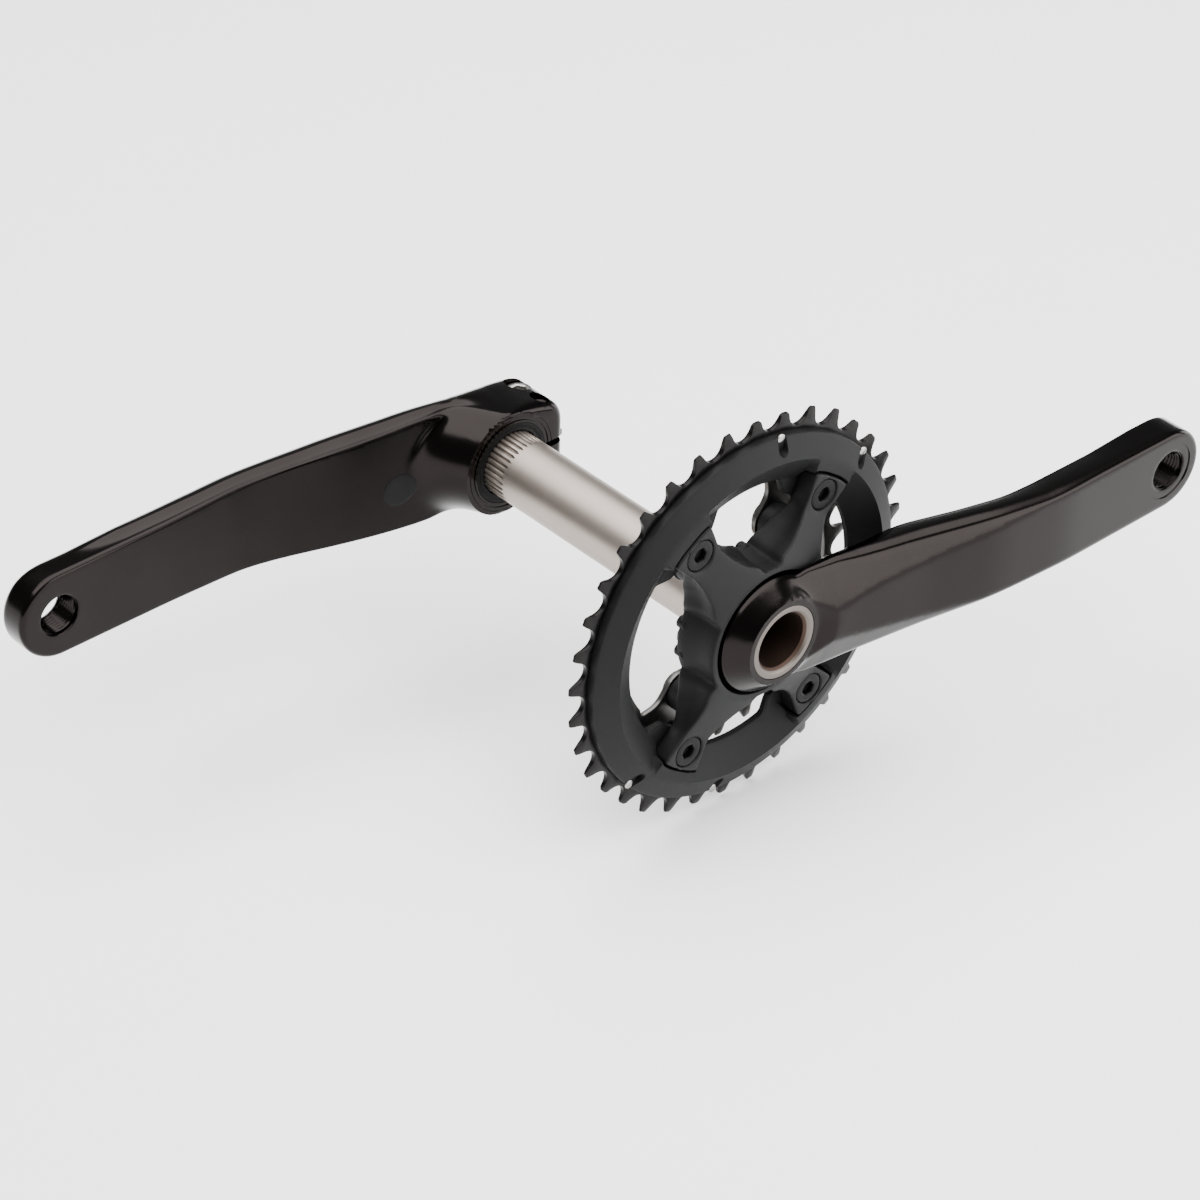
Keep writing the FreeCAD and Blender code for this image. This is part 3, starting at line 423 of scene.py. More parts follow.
def plate(outline, holes, front, back, front_lip=0.5, back_lip=0.5, spacing=2.0, creases=(), flare=None,
          waist=None, steps=4, walls=5):
    """A closed solid with rounded lips between two surfaces, which give Y at (x, z) spots inside an outline.
    The walls stand out by flare towards the back and are hollowed by waist at mid height."""
    front = front if callable(front) else constant(front)
    back = back if callable(back) else constant(back)
    front_lip = front_lip if callable(front_lip) else constant(front_lip)
    back_lip = back_lip if callable(back_lip) else constant(back_lip)
    flare = flare or constant(0.0)
    waist = waist or constant(0.0)
    points, faces, front_loops, back_loops = [], [], [], []
    for number, loop in enumerate([outline, *holes]):
        loop = np.asarray(loop, float)
        area = (loop[:, 0] * np.roll(loop[:, 1], -1) - np.roll(loop[:, 0], -1) * loop[:, 1]).sum()
        if (area > 0) != (number == 0):
            loop = loop[::-1]
        normal = inward(loop)
        most = 0.45 * np.abs(back(loop) - front(loop))
        near = np.minimum(front_lip(loop), most)
        far = np.minimum(back_lip(loop), most)
        stand = flare(loop)
        rows = []
        for step in range(steps + 1):
            turn = step / steps * math.pi / 2
            spots = loop + normal * (far * (1 - math.sin(turn)) - stand)[:, None]
            rows.append((spots, back(spots) - far * (1 - math.cos(turn))))
        first, top = rows[-1][1], front(loop) + near
        hollow = waist(loop)
        for step in range(1, walls):
            share = step / walls
            inset = hollow * math.sin(math.pi * share) ** 2 - stand * (1 - share) ** 2
            spots = loop + normal * inset[:, None]
            rows.append((spots, first * (1 - share) + top * share))
        for step in range(steps + 1):
            turn = (1 - step / steps) * math.pi / 2
            spots = loop + normal * (near * (1 - math.sin(turn)))[:, None]
            rows.append((spots, front(spots) + near * (1 - math.cos(turn))))
        start, count = len(points), len(loop)
        for spots, height in rows:
            points += [(p[0], h, p[1]) for p, h in zip(spots, height)]
        for row in range(len(rows) - 1):
            for k in range(count):
                a, n = start + row * count + k, start + row * count + (k + 1) % count
                faces.append((a, n, n + count, a + count))
        back_loops.append(rows[0][0])
        front_loops.append(rows[-1][0])
    for loops, surface in ((front_loops, front), (back_loops, back)):
        flat, triangles = filled(loops, spacing, creases)
        height = surface(flat)
        start = len(points)
        points += [(p[0], h, p[1]) for p, h in zip(flat, height)]
        faces += [tuple(start + i for i in t) for t in triangles]
    return shape_of(points, faces)


def spot_at(radius, degrees):
    """The spot at that distance from the axis in that direction."""
    return radius * math.cos(math.radians(degrees)), radius * math.sin(math.radians(degrees))


def heading(degrees):
    """Unit vectors away from the axis in that direction, and square to it."""
    out = np.array(spot_at(1.0, degrees))
    return out, np.array([-out[1], out[0]])


def arc(radius, start=0.0, end=360.0, steps=64, centre=(0.0, 0.0), closed=True):
    angles = np.radians(np.linspace(start, end, steps, endpoint=not closed))
    return np.stack([centre[0] + radius * np.cos(angles), centre[1] + radius * np.sin(angles)], 1)


def whole_circle(radius, steps, centre=(0.0, 0.0)):
    """A circle as a line that ends where it starts."""
    line = arc(radius, steps=steps, centre=centre)
    return np.vstack([line, line[:1]])


def even(line, step):
    """The closed line with its points spread evenly."""
    line = np.asarray(line, float)
    line = np.vstack([line, line[:1]])
    along = np.concatenate([[0], np.cumsum(np.linalg.norm(np.diff(line, axis=0), axis=1))])
    count = max(8, int(along[-1] / step))
    places = np.linspace(0, along[-1], count, endpoint=False)
    return np.stack([np.interp(places, along, line[:, k]) for k in range(2)], 1)


def eased(stations, heights, blur):
    """A smooth curve near a broken line of (station, height)."""
    fine = np.arange(stations[0] - 30, stations[-1] + 30, 0.5)
    rough = np.interp(fine, stations, heights)
    before = fine < stations[0]
    rough[before] += (fine[before] - stations[0]) * (heights[1] - heights[0]) / (stations[1] - stations[0])
    window = np.hanning(int(blur / 0.5) | 1)
    margin = len(window)
    smooth = np.convolve(np.pad(rough, margin, "edge"), window / window.sum(), "same")[margin:-margin]
    return lambda place: np.interp(place, fine, smooth)


def soft_max(a, b, width):
    return (a + b + np.sqrt((a - b) ** 2 + width ** 2)) / 2


def soft_min(a, b, width):
    return (a + b - np.sqrt((a - b) ** 2 + width ** 2)) / 2


def cut(piece, shape, operation="DIFFERENCE"):
    """Cut a shape out of a piece, or join it on."""
    tool = bpy.data.objects.new("tool", as_mesh("tool", shape))
    scene.collection.objects.link(tool)
    change = piece.modifiers.new("cut", "BOOLEAN")
    change.operation = operation
    change.solver = "EXACT"
    change.object = tool
    bpy.context.view_layer.update()
    result = bpy.data.meshes.new_from_object(piece.evaluated_get(bpy.context.evaluated_depsgraph_get()))
    piece.modifiers.clear()
    result.materials.clear()
    result.materials.append(piece.data.materials[0])
    piece.data = result
    bpy.data.objects.remove(tool)


def crisp_edges(piece):
    work = bmesh.new()
    work.from_mesh(piece.data)
    bmesh.ops.remove_doubles(work, verts=work.verts, dist=1e-6)
    bmesh.ops.dissolve_degenerate(work, edges=work.edges, dist=1e-6)
    work.to_mesh(piece.data)
    work.free()
    piece.data.shade_smooth()
    piece.data.set_sharp_from_angle(angle=math.radians(crisp_angle))


def pedal_thread(low, high):
    """The threaded wall of a pedal's hole along Y: a ring whose inner side is one long screw groove."""
    outer, minor, major, pitch = 7.9, 6.55, 7.15, 1.27
    rows = np.arange(low, high + 1e-6, pitch / 10)
    steps = 60
    points, faces = [], []
    for station in rows:
        for k in range(steps):
            angle = 2 * math.pi * k / steps
            phase = (station / pitch + k / steps) % 1.0
            r = minor + (major - minor) * (1 - abs(2 * phase - 1))
            ease = min(station - low, high - station, pitch) / pitch
            r = major * (1 - ease) + r * ease
            points.append((r * math.cos(angle), station, r * math.sin(angle)))
    for station in (high, low):
        for k in range(steps):
            angle = 2 * math.pi * k / steps
            points.append((outer * math.cos(angle), station, outer * math.sin(angle)))
    count = len(rows) + 2
    for row in range(count):
        for k in range(steps):
            n = (k + 1) % steps
            other = (row + 1) % count
            faces.append((row * steps + k, row * steps + n, other * steps + n, other * steps + k))
    return shape_of(points, faces)


arm_finish, wire, shader = new_finish("polished_black_anodising", {"Metallic": 1.0, "IOR": 1.5})
spot = place_in_millimetres(wire)
station = split(spot)[1]
clouds = noise(spot, 0.05, 3.0)
grain = noise(spot, 1.4, 3.0)
connect(mix_colours((0.0125, 0.0108, 0.0104, 1), (0.0165, 0.0142, 0.0137, 1), clouds), shader, "Base Color")
satin = (1 - axis_distance(spot).above(15.5, 0.3)) * (1 - station.above(-70.0, 1.0))
connect(0.15 + grain * 0.05 + satin * 0.25, shader, "Roughness")
bumped(grain * 0.6 + noise(spot, 0.35, 2.0) * 0.4, shader, 0.010)

crank_length = 170.0
eye_radius, eye_hole_radius = 15.3, 7.5
spotface_radius, spotface_depth = 10.6, 0.4
hub_radius = 21.7
rim_radius, rim_level = 15.6, 73.3
cone_level = 66.6
arm_face = eased([-8, 0, 8, 16, 30, 60, 87, 118, 200],
                 [67.5, 71.3, 74.0, 75.8, 77.0, 81.0, 86.0, 88.8, 88.6], 26.0)
arm_inside = eased([-1, 57, 80, 98, 200], [66.6, 66.6, 72.7, 76.2, 76.4], 20.0)
upper_crease = ([18, 26, 32, 43, 55, 66, 87, 112, 135, 200],
                [3.6, 4.6, 6.2, 8.0, 9.0, 10.1, 11.8, 14.2, 15.6, 15.8])
lower_crease = ([18, 26, 35, 48, 65, 82, 112, 200], [-7.0, -8.2, -9.6, -11.2, -13.2, -14.5, -15.4, -15.8])
chamfer_slope = 0.38
crease_width = 0.5


def drive_arm_front(spots):
    u, v = spots[:, 0], spots[:, 1]
    r = np.hypot(u, v)
    over = soft_max(v - np.interp(u, *upper_crease), 0.0, crease_width)
    under = soft_max(np.interp(u, *lower_crease) - v, 0.0, crease_width)
    blade = arm_face(u) - chamfer_slope * over - chamfer_slope * under
    cone_slope = (rim_level - cone_level) / (hub_radius - rim_radius)
    cone = np.where(r < rim_radius, rim_level, rim_level - (r - rim_radius) * cone_slope)
    level = soft_max(cone, blade, 1.6)
    dished = rim_level + (r - rim_radius) * 0.485
    level = np.where(r < rim_radius + 9, soft_min(level, dished, 0.25), level)
    level = np.where(r < rim_radius, rim_level, level)
    eye = np.hypot(u - crank_length, v)
    return -(level - np.where(eye < spotface_radius, spotface_depth, 0.0))


def drive_arm_back(spots):
    u, v = spots[:, 0], spots[:, 1]
    return -np.where(np.hypot(u, v) < hub_radius + 0.1, 56.0, arm_inside(u))


half_width = ([0, 26, 60, 84, 112, 170], [20.2, 20.3, 18.8, 17.7, 16.1, 15.4])
stations = np.linspace(12, crank_length, 60)
upper = np.stack([stations, np.interp(stations, *half_width)], 1)
outline = np.vstack([arc(hub_radius, 62, 298, 60, closed=False), upper * (1, -1),
                     arc(eye_radius, -84, 84, 40, (crank_length, 0), closed=False), upper[::-1]])
outline = even(outline, 0.9)
window = np.hanning(9)
window /= window.sum()
wrapped = np.vstack([outline[-8:], outline, outline[:8]])
outline = np.stack([np.convolve(wrapped[:, k], window, "same")[8:-8] for k in range(2)], 1)
creases = [whole_circle(rim_radius, 90), whole_circle(rim_radius - 0.12, 90),
           arc(hub_radius + 0.05, -50, 50, 60, closed=False), arc(hub_radius + 0.2, -50, 50, 60, closed=False),
           whole_circle(spotface_radius - 0.05, 60, (crank_length, 0)),
           whole_circle(spotface_radius + 0.1, 60, (crank_length, 0)), arc(22.0, -60, 60, 60, closed=False)]
reaches = np.linspace(24, 110, 90)
creases += [np.stack([reaches, np.interp(reaches, *line)], 1) for line in (upper_crease, lower_crease)]
near_hole, hole_lip = 9.0, 0.5


def drive_arm_lip(spots):
    lip = np.interp(spots[:, 0], [-15, 12, 30, 60, 120, 185], [0.7, 1.2, 2.6, 3.2, 2.8, 1.8])
    return np.where(np.hypot(spots[:, 0] - crank_length, spots[:, 1]) < near_hole, hole_lip, lip)


def drive_arm_back_lip(spots):
    return np.where(np.hypot(spots[:, 0] - crank_length, spots[:, 1]) < near_hole, hole_lip, 0.9)


arm = plate(outline, [arc(eye_hole_radius, steps=60, centre=(crank_length, 0))],
            drive_arm_front, drive_arm_back, drive_arm_lip, drive_arm_back_lip,
            flare=lambda spots: -1.2 * np.interp(spots[:, 0], [24, 40, 140, 160], [0, 1, 1, 0]),
            spacing=1.1, creases=creases, steps=6)
piece = new_piece("drive_arm", arm, arm_finish, "drive_side", "anodised_black", "right_crank_arm")
cut(piece, turned([(0.0, -80.0), (13.6, -80.0), (13.6, -73.6), (13.62, -71.0), (12.05, -71.0), (12.05, -50.0),
                   (0.0, -50.0)], 128))
collar = turned([(12.1, -56.5), (16.0, -56.5), (16.0, -46.9), (15.6, -46.5), (12.1, -46.5)], 128)
cut(piece, collar, "UNION")
crisp_edges(piece)


thread = moved(pedal_thread(-87.6, -76.9), shift=(crank_length, 0, 0))
new_piece("drive_arm_pedal_thread", thread, arm_finish, "drive_side", "anodised_black")


# Spider: forged aluminium behind the drive arm's hub, bead-blasted and painted matt black. Four arms reach
# the outer ring, their backs carry bosses for the inner ring, and a lobed ring at the back fits the hub.
spider_finish, wire, shader = new_finish("matt_black_paint", {
    "Metallic": 0.0, "IOR": 1.5, "Specular IOR Level": 0.16})
spot = place_in_millimetres(wire)
blast = noise(spot, 2.6, 4.0, 0.7)
clouds = noise(spot, 0.06, 2.0)
paint_shade = clouds * 0.6 + blast * 0.4
painted = mix_colours((0.0030, 0.0030, 0.0031, 1), (0.0052, 0.0052, 0.0054, 1), paint_shade)
connect(painted, shader, "Base Color")
connect(0.46 + blast * 0.14, shader, "Roughness")
bumped(blast, shader, 0.022)

bolt_angles = (54.0, 124.0, 234.0, 304.0)
bolt_circle, inner_bolt_circle = 48.0, 32.0
spider_front, tip_front, arm_back, spider_back = 66.2, 60.34, 53.2, 49.0
spider_opening = 22.9
cone_start, cone_end = 24.8, 42.4
half_arm = [(25.5, 11.5), (30.0, 8.6), (36.0, 6.9), (41.0, 6.4), (45.5, 7.0), (49.5, 8.0),
            (53.7, 8.8, 1.3), (54.5, 4.0)]


def round_the_spider(half, valley):
    """An outline of four arms; each side is (distance from the axis, half width), and valleys lie between."""
    line = []
    for k, angle in enumerate(bolt_angles):
        out, side = heading(angle)
        line += [(*(out * reach - side * width), *own) for reach, width, *own in half]
        line += [(*(out * reach + side * width), *own) for reach, width, *own in half[::-1]]
        gap = (bolt_angles[(k + 1) % 4] - angle) % 360
        spare = math.degrees(math.atan2(half[0][1], half[0][0])) + 3.0
        for step in np.linspace(spare, gap - spare, max(2, int((gap - 2 * spare) / 5) + 1)):
            line.append(spot_at(valley, angle + step))
    return line


def spider_face(spots):
    r = from_axis(spots)
    slope = spider_front - (r - cone_start) * (spider_front - tip_front) / (cone_end - cone_start)
    return -soft_max(np.minimum(slope, spider_front), tip_front, 0.35)


def spider_rear(spots):
    r = from_axis(spots)
    return -np.interp(r, [25.5, 30.0, 36.0, 39.5], [50.2, 51.2, 51.8, arm_back])


def from_axis(spots):
    return np.hypot(*spots.T)


spider_outline = even(soften(round_the_spider(half_arm, 25.0), 2.0), 0.55)
bolt_holes = [arc(5.75, steps=48, centre=spot_at(bolt_circle, a)) for a in bolt_angles]
web = plate(spider_outline, [arc(spider_opening, steps=120), *bolt_holes],
            spider_face, spider_rear, spacing=1.6, steps=4, walls=8,
            front_lip=lambda s: np.where(from_axis(s) < 24, 0.4, 0.75), back_lip=0.8,
            flare=lambda s: 1.7 * np.interp(from_axis(s), [24.0, 34.0, 43.0], [1.0, 0.9, 0.0])
            * (from_axis(s) > 24.0),
            waist=lambda s: 0.7 * np.interp(from_axis(s), [24.0, 30.0, 43.0, 46.0], [0.4, 1.0, 0.6, 0.0])
            * (from_axis(s) > 24.0))
lobe_circle, lobe_radius, lobe_valley = 24.6, 2.3, 25.4
lobes = []
for k in range(14):
    way = 10.0 + k * 360 / 14
    out, side = heading(way)
    for turn in np.radians(np.linspace(-100, 100, 11)):
        lobes.append(tuple(out * lobe_circle + (out * math.cos(turn) + side * math.sin(turn)) * lobe_radius))
    lobes += [spot_at(lobe_valley, way + step) for step in (9.5, 12.86, 16.2)]
lobe_ring = plate(even(lobes, 0.5), [arc(16.4, steps=96)], -52.6, -spider_back, 0.3, 0.5, spacing=3.0)
bosses = []
for a in bolt_angles:
    centre = spot_at(inner_bolt_circle, a)
    bosses.append(plate(arc(6.9, steps=56, centre=centre), [arc(4.05, steps=36, centre=centre)],
                        -53.0, -46.03, 0.3, 0.5, spacing=3.0))
new_piece("spider_web", together(web, lobe_ring, *bosses), spider_finish, "drive_side", "matte_black", "spider")


# Outer chainring: 36 teeth, machined from aluminium plate and anodised black. A raised band stiffens it, is
# dished towards its inner edge and closes round the tips of the spider; the cut teeth are smoother.
ring_finish, wire, shader = new_finish("satin_black_anodising", {"IOR": 1.5, "Specular IOR Level": 0.14})
spot = place_in_millimetres(wire)
toothed = axis_distance(spot).above(67.6, 0.3)
blast = noise(spot, 3.0, 4.0, 0.7)
clouds = noise(spot, 0.05, 2.0)
band = mix_colours((0.0024, 0.0024, 0.0025, 1), (0.0042, 0.0042, 0.0043, 1), clouds * 0.5 + blast * 0.5)
edge = mix_colours((0.009, 0.0084, 0.0084, 1), (0.016, 0.0150, 0.0149, 1), noise(spot, 0.5, 3.0))
connect(mix_colours(band, edge, toothed), shader, "Base Color")
connect(toothed * 0.9, shader, "Metallic")
connect(0.50 + blast * 0.12 - toothed * 0.24, shader, "Roughness")
bumped(blast * (1 - toothed) + noise(spot, 1.0, 2.0) * toothed * 0.5, shader, 0.020)

chain_pitch = 12.7
roller_radius = 4.15


def toothed_line(teeth, tip, first_gap, low_teeth=()):
    """A chainring's rim: a round seat for the chain's roller in each gap, and a tooth between."""
    pitch = chain_pitch / (2 * math.sin(math.pi / teeth))
    half = math.pi / teeth
    line = []
    for k in range(teeth):
        way = 360 * k / teeth + first_gap
        out, side = heading(way)
        seat = [(pitch - roller_radius * math.cos(t), roller_radius * math.sin(t))
                for t in np.radians(np.linspace(-62, 62, 9))]
        line += [tuple(out * r + side * u) for r, u in seat]
        reach = tip - (1.1 if k in low_teeth else 0.0)
        flank = [(pitch + 0.1, 0.696 * half * pitch), (reach - 0.3, half * reach - 1.45),
                 (reach, half * reach - 1.1)]
        line += [tuple(out * r + side * u) for r, u in flank]
        out, side = heading(way + 360 / teeth)
        line += [tuple(out * r - side * u) for r, u in flank[::-1]]
    return even(soften(line, 0.3, 3), 0.3)


def tooth_side(level, away, root, slope):
    """The side of a toothed plate; the teeth get thinner outwards from the root."""
    return lambda spots: level + away * np.maximum(from_axis(spots) - root, 0.0) * slope


outer_gap = 2.2
low_teeth = (3, 4, 7, 8, 21, 22, 25, 26)
rim = plate(toothed_line(36, 74.6, outer_gap, low_teeth), [arc(66.9, steps=180)],
            tooth_side(-52.7, 1, 70.4, 0.17), tooth_side(-50.7, -1, 70.4, 0.12), 0.35, 0.3,
            spacing=2.0, steps=3, walls=2)


def ring_inner_line(ear_half, ear_reach, pocket_half, pocket_reach, radius):
    """The band's inner edge, with an ear and a pocket for each tip of the spider."""
    line = []
    for k, angle in enumerate(bolt_angles):
        out, side = heading(angle)
        root = ear_half + 4.5
        half = [(math.sqrt(radius ** 2 - root ** 2), root, 3.5), (ear_reach + 1.2, ear_half + 0.8, 2.4),
                (ear_reach, ear_half - 1.0, 0.8)]
        if pocket_half:
            half += [(ear_reach, pocket_half, 0.4), (pocket_reach - 0.9, pocket_half, 0.9),
                     (pocket_reach, pocket_half - 5.0, 2.0)]
        line += [(*(out * r - side * u), c) for r, u, c in half]
        line += [(*(out * r + side * u), c) for r, u, c in half[::-1]]
        gap = (bolt_angles[(k + 1) % 4] - angle) % 360
        spare = math.degrees(math.asin(root / radius)) + 3.0
        for step in np.linspace(spare, gap - spare, max(2, int((gap - 2 * spare) / 3) + 1)):
            line.append((*spot_at(radius, angle + step), 0.6))
    return even(soften(line, 1.0, 5), 0.5)


band_radius, band_inner_radius, band_rim_level = 67.3, 49.3, 55.3
crest_radius, crest_level = 59.4, 59.2
pin_angles = (41.0, 80.0, 221.0, 260.0)
pin_circle, scoop_end, scoop_half = 66.7, 63.2, 2.1


def cover_share(spots):
    """1 on the covers beyond the ends of the spider's tips, 0 between them."""
    share = np.zeros(len(spots))
    for a in bolt_angles:
        out, side = heading(a)
        along, lateral = spots @ out, np.abs(spots @ side)
        here = (1 - np.clip((lateral - 9.7) / 1.6, 0, 1)) * np.clip((along - 52.6) / 1.4, 0, 1)
        share = np.maximum(share, here)
    return share * share * (3 - 2 * share)


def scoop_depth(spots):
    """How far a spot lies inside a pin's scoop."""
    depth = np.full(len(spots), -9.0)
    for a in pin_angles:
        out, side = heading(a)
        along, lateral = spots @ out, spots @ side
        inside = scoop_half - np.hypot(lateral, np.minimum(along - scoop_end, 0.0))
        depth = np.maximum(depth, inside - 9.0 * (along < 0))
    return depth


def band_face(spots):
    r = from_axis(spots)
    slope = np.interp(r, [band_inner_radius, crest_radius, band_radius], [52.9, crest_level, band_rim_level])
    flush = np.interp(r, [54.0, crest_radius, band_radius], [60.15, crest_level, band_rim_level])
    cover = cover_share(spots)
    level = slope * (1 - cover) + flush * cover
    scooped = np.clip(scoop_depth(spots) / 0.35, 0, 1)
    return -(level * (1 - scooped) + np.minimum(level, band_rim_level) * scooped)


band_creases = [whole_circle(crest_radius, 220)]
for a in pin_angles:
    frame_of_pin = np.array(heading(a))
    for inset in (0.0, 0.35):
        bend = arc(scoop_half - inset, 90, 270, 14, (scoop_end, 0.0), closed=False)
        sides = np.linspace(67.0, scoop_end, 9)[:-1]
        line = np.vstack([np.stack([sides, np.full(8, scoop_half - inset)], 1), bend,
                          np.stack([sides[::-1], np.full(8, inset - scoop_half)], 1)])
        band_creases.append(line @ frame_of_pin)
for a in bolt_angles:
    frame_of_tip = np.array(heading(a))
    for lateral in (-11.3, -10.5, -9.75, 9.75, 10.5, 11.3):
        ahead = np.linspace(47.0, 58.2, 14)
        band_creases.append(np.stack([ahead, np.full(14, lateral)], 1) @ frame_of_tip)
band = plate(arc(band_radius, steps=240), [ring_inner_line(11.6, 42.6, 9.5, 55.4, band_inner_radius)],
             band_face, -50.7, 0.35, 0.4, spacing=1.5, creases=band_creases, steps=4, walls=2)
floor_line = ring_inner_line(11.2, 43.0, 0.0, 0.0, 49.8)
seat = plate(arc(60.0, steps=120), [floor_line], -53.15, -50.75, 0.2, 0.3, spacing=3.0)
new_piece("outer_ring", together(rim, band, seat), ring_finish, "drive_side", "matte_black", "outer_chainring",
          crisp=28)


# Inner chainring: 26 teeth, stamped from steel plate and left bare, bolted to the bosses through four tabs.
steel_finish, wire, shader = new_finish("bare_steel_plate", {"Metallic": 1.0})
spot = place_in_millimetres(wire)
grain = noise(spot, 1.6, 4.0, 0.6)
marks = noise(spot, 0.25, 3.0)
plate_shade = grain * 0.4 + marks * 0.6
connect(mix_colours((0.07, 0.067, 0.064, 1), (0.13, 0.125, 0.12, 1), plate_shade), shader, "Base Color")
connect(0.27 + grain * 0.16, shader, "Roughness")
bumped(grain, shader, 0.012)


tab_radius, inner_ring_opening = 7.5, 45.0


def tab_line():
    """The inner ring's opening, with a round-ended tab for each boss."""
    line = []
    for k, angle in enumerate(bolt_angles):
        out, side = heading(angle)
        half = [(44.6, 13.0, 4.0), (39.5, 7.6, 3.0), (inner_bolt_circle, tab_radius, 0.1)]
        line += [(*(out * r - side * u), c) for r, u, c in half]
        for t in np.radians(np.linspace(-80, 80, 13)):
            reach = inner_bolt_circle - tab_radius * math.cos(t)
            line.append((*(out * reach + side * tab_radius * math.sin(t)), 0.1))
        line += [(*(out * r + side * u), c) for r, u, c in half[::-1]]
        gap = (bolt_angles[(k + 1) % 4] - angle) % 360
        for step in np.linspace(19.5, gap - 19.5, max(2, int((gap - 39) / 3) + 1)):
            line.append((*spot_at(inner_ring_opening, angle + step), 0.6))
    return even(soften(line, 1.0, 5), 0.5)


inner = plate(toothed_line(26, 54.5, 0.0), [tab_line()],
              tooth_side(-46.0, 1, 50.3, 0.14), tooth_side(-44.0, -1, 50.3, 0.14),
              0.35, 0.35, spacing=2.0, steps=3, walls=2)
new_piece("inner_ring", inner, steel_finish, "drive_side", "ring_steel", "inner_chainring", crisp=28)


# Fasteners of the rings: black steel bolts with hexagon sockets and their sleeve nuts, bright pins that lift
# the chain between the rings, and the pin behind the arm that stops a dropped chain.
black_steel, wire, shader = new_finish("black_oxide_steel", {"Metallic": 0.6, "Specular IOR Level": 0.15})
spot = place_in_millimetres(wire)
grain = noise(spot, 2.0, 3.0)
connect(mix_colours((0.0035, 0.0035, 0.0036, 1), (0.007, 0.0069, 0.0069, 1), grain), shader, "Base Color")
connect(0.33 + grain * 0.14, shader, "Roughness")
bumped(grain, shader, 0.008)
bright_steel, wire, shader = new_finish("bright_steel", {"Metallic": 1.0})
spot = place_in_millimetres(wire)
grain = noise(spot, 1.8, 3.0)
connect(mix_colours((0.26, 0.255, 0.245, 1), (0.38, 0.372, 0.36, 1), grain), shader, "Base Color")
connect(0.20 + grain * 0.14, shader, "Roughness")
bumped(grain, shader, 0.006)


def socket_bolt(head, shank, face, seat, end, across, depth, collar=False):
    """A bolt along Y with its head at face: a rounded head with a hexagon socket, on a plain shank.
    A collar is a raised ring round the socket."""
    away = 1.0 if end > face else -1.0
    low, high = sorted((face, seat))
    lips = (0.55, 0.15) if away > 0 else (0.15, 0.55)
    hexagon = even(arc(across / math.sqrt(3), steps=6), 0.6)
    parts = [plate(arc(head, steps=56), [hexagon], low, high, *lips, spacing=1.6, steps=4, walls=2)]
    if collar:
        r = across * 0.75
        parts.append(turned([(r, face - away * 0.02), (r + 0.35, face + away * 0.22),
                             (r + 0.7, face - away * 0.02), (r + 0.35, face + away * 0.5)], 40))
    floor = face + away * depth
    parts.append(turned([(0.0, floor), (shank, floor), (shank, end), (0.0, end)], 40))
    return together(*parts)


def round_the_axis(radius, degrees):
    """The place on the middle plane at that distance and in that direction, as a shift."""
    x, z = spot_at(radius, degrees)
    return x, 0.0, z


for number, angle in enumerate(bolt_angles, start=1):
    spin = Matrix.Rotation(-math.radians(angle), 4, "Y")
    at = round_the_axis(bolt_circle, angle)
    bolt = moved(socket_bolt(5.6, 4.0, -60.0, -57.94, -49.9, 4.6, 1.9, collar=True), spin, at)
    new_piece("ring_bolt_%d" % number, bolt, black_steel, "drive_side", "black_steel",
              "chainring_bolt_%d" % number)
    nut = turned([(4.0, -53.1), (5.0, -53.1), (5.0, -50.7), (6.4, -50.7), (6.4, -49.7), (6.2, -49.5),
                  (4.0, -49.5)], 56)
    new_piece("ring_nut_%d" % number, moved(nut, None, at), black_steel, "drive_side", "black_steel",
              "chainring_nut_%d" % number)
    at = round_the_axis(inner_bolt_circle, angle)
    bolt = moved(socket_bolt(5.6, 4.0, -42.1, -44.0, -52.5, 4.6, 1.5), spin, at)
    new_piece("inner_bolt_%d" % number, bolt, black_steel, "drive_side", "black_steel",
              "inner_ring_bolt_%d" % number)
for number, angle in enumerate(pin_angles, start=1):
    pin = turned([(0.0, -55.72), (1.1, -55.68), (1.5, -55.45), (1.6, -55.2), (1.2, -55.0), (0.5, -54.8),
                  (0.5, -50.4), (0.0, -50.4)], 36)
    new_piece("chain_lift_pin_%d" % number, moved(pin, None, round_the_axis(pin_circle, angle)), bright_steel,
              "drive_side", "bright_steel", "shift_pin_%d" % number)
stop = turned([(0.0, -64.9), (1.5, -64.9), (2.0, -64.4), (2.0, -55.3), (1.5, -55.3), (1.5, -50.7),
               (0.0, -50.7)], 36)
new_piece("chain_stop_pin", moved(stop, None, (61.0, 0.0, 0.0)), bright_steel, "drive_side", "bright_steel",
          "chain_drop_pin")


# Left arm: forged and finished like the other. Its blade sweeps out from a deep hub, which is split at the
# lug and clamps on the splines; the hub's inner face is machined in rings round the seal.
left_arm_level = 61.5
left_hub = 20.1
left_inside = eased([-200, -95, -80, -58, -45, -26, -14, 30],
                    [90, 90, 87.4, 82.0, 79.4, 76.7, 75.4, 74.9], 24.0)
left_outside = eased([-200, -112, -92, -60, -14, 60], [101.8, 101.8, 101.2, 95.6, 85.6, 84], 26.0)


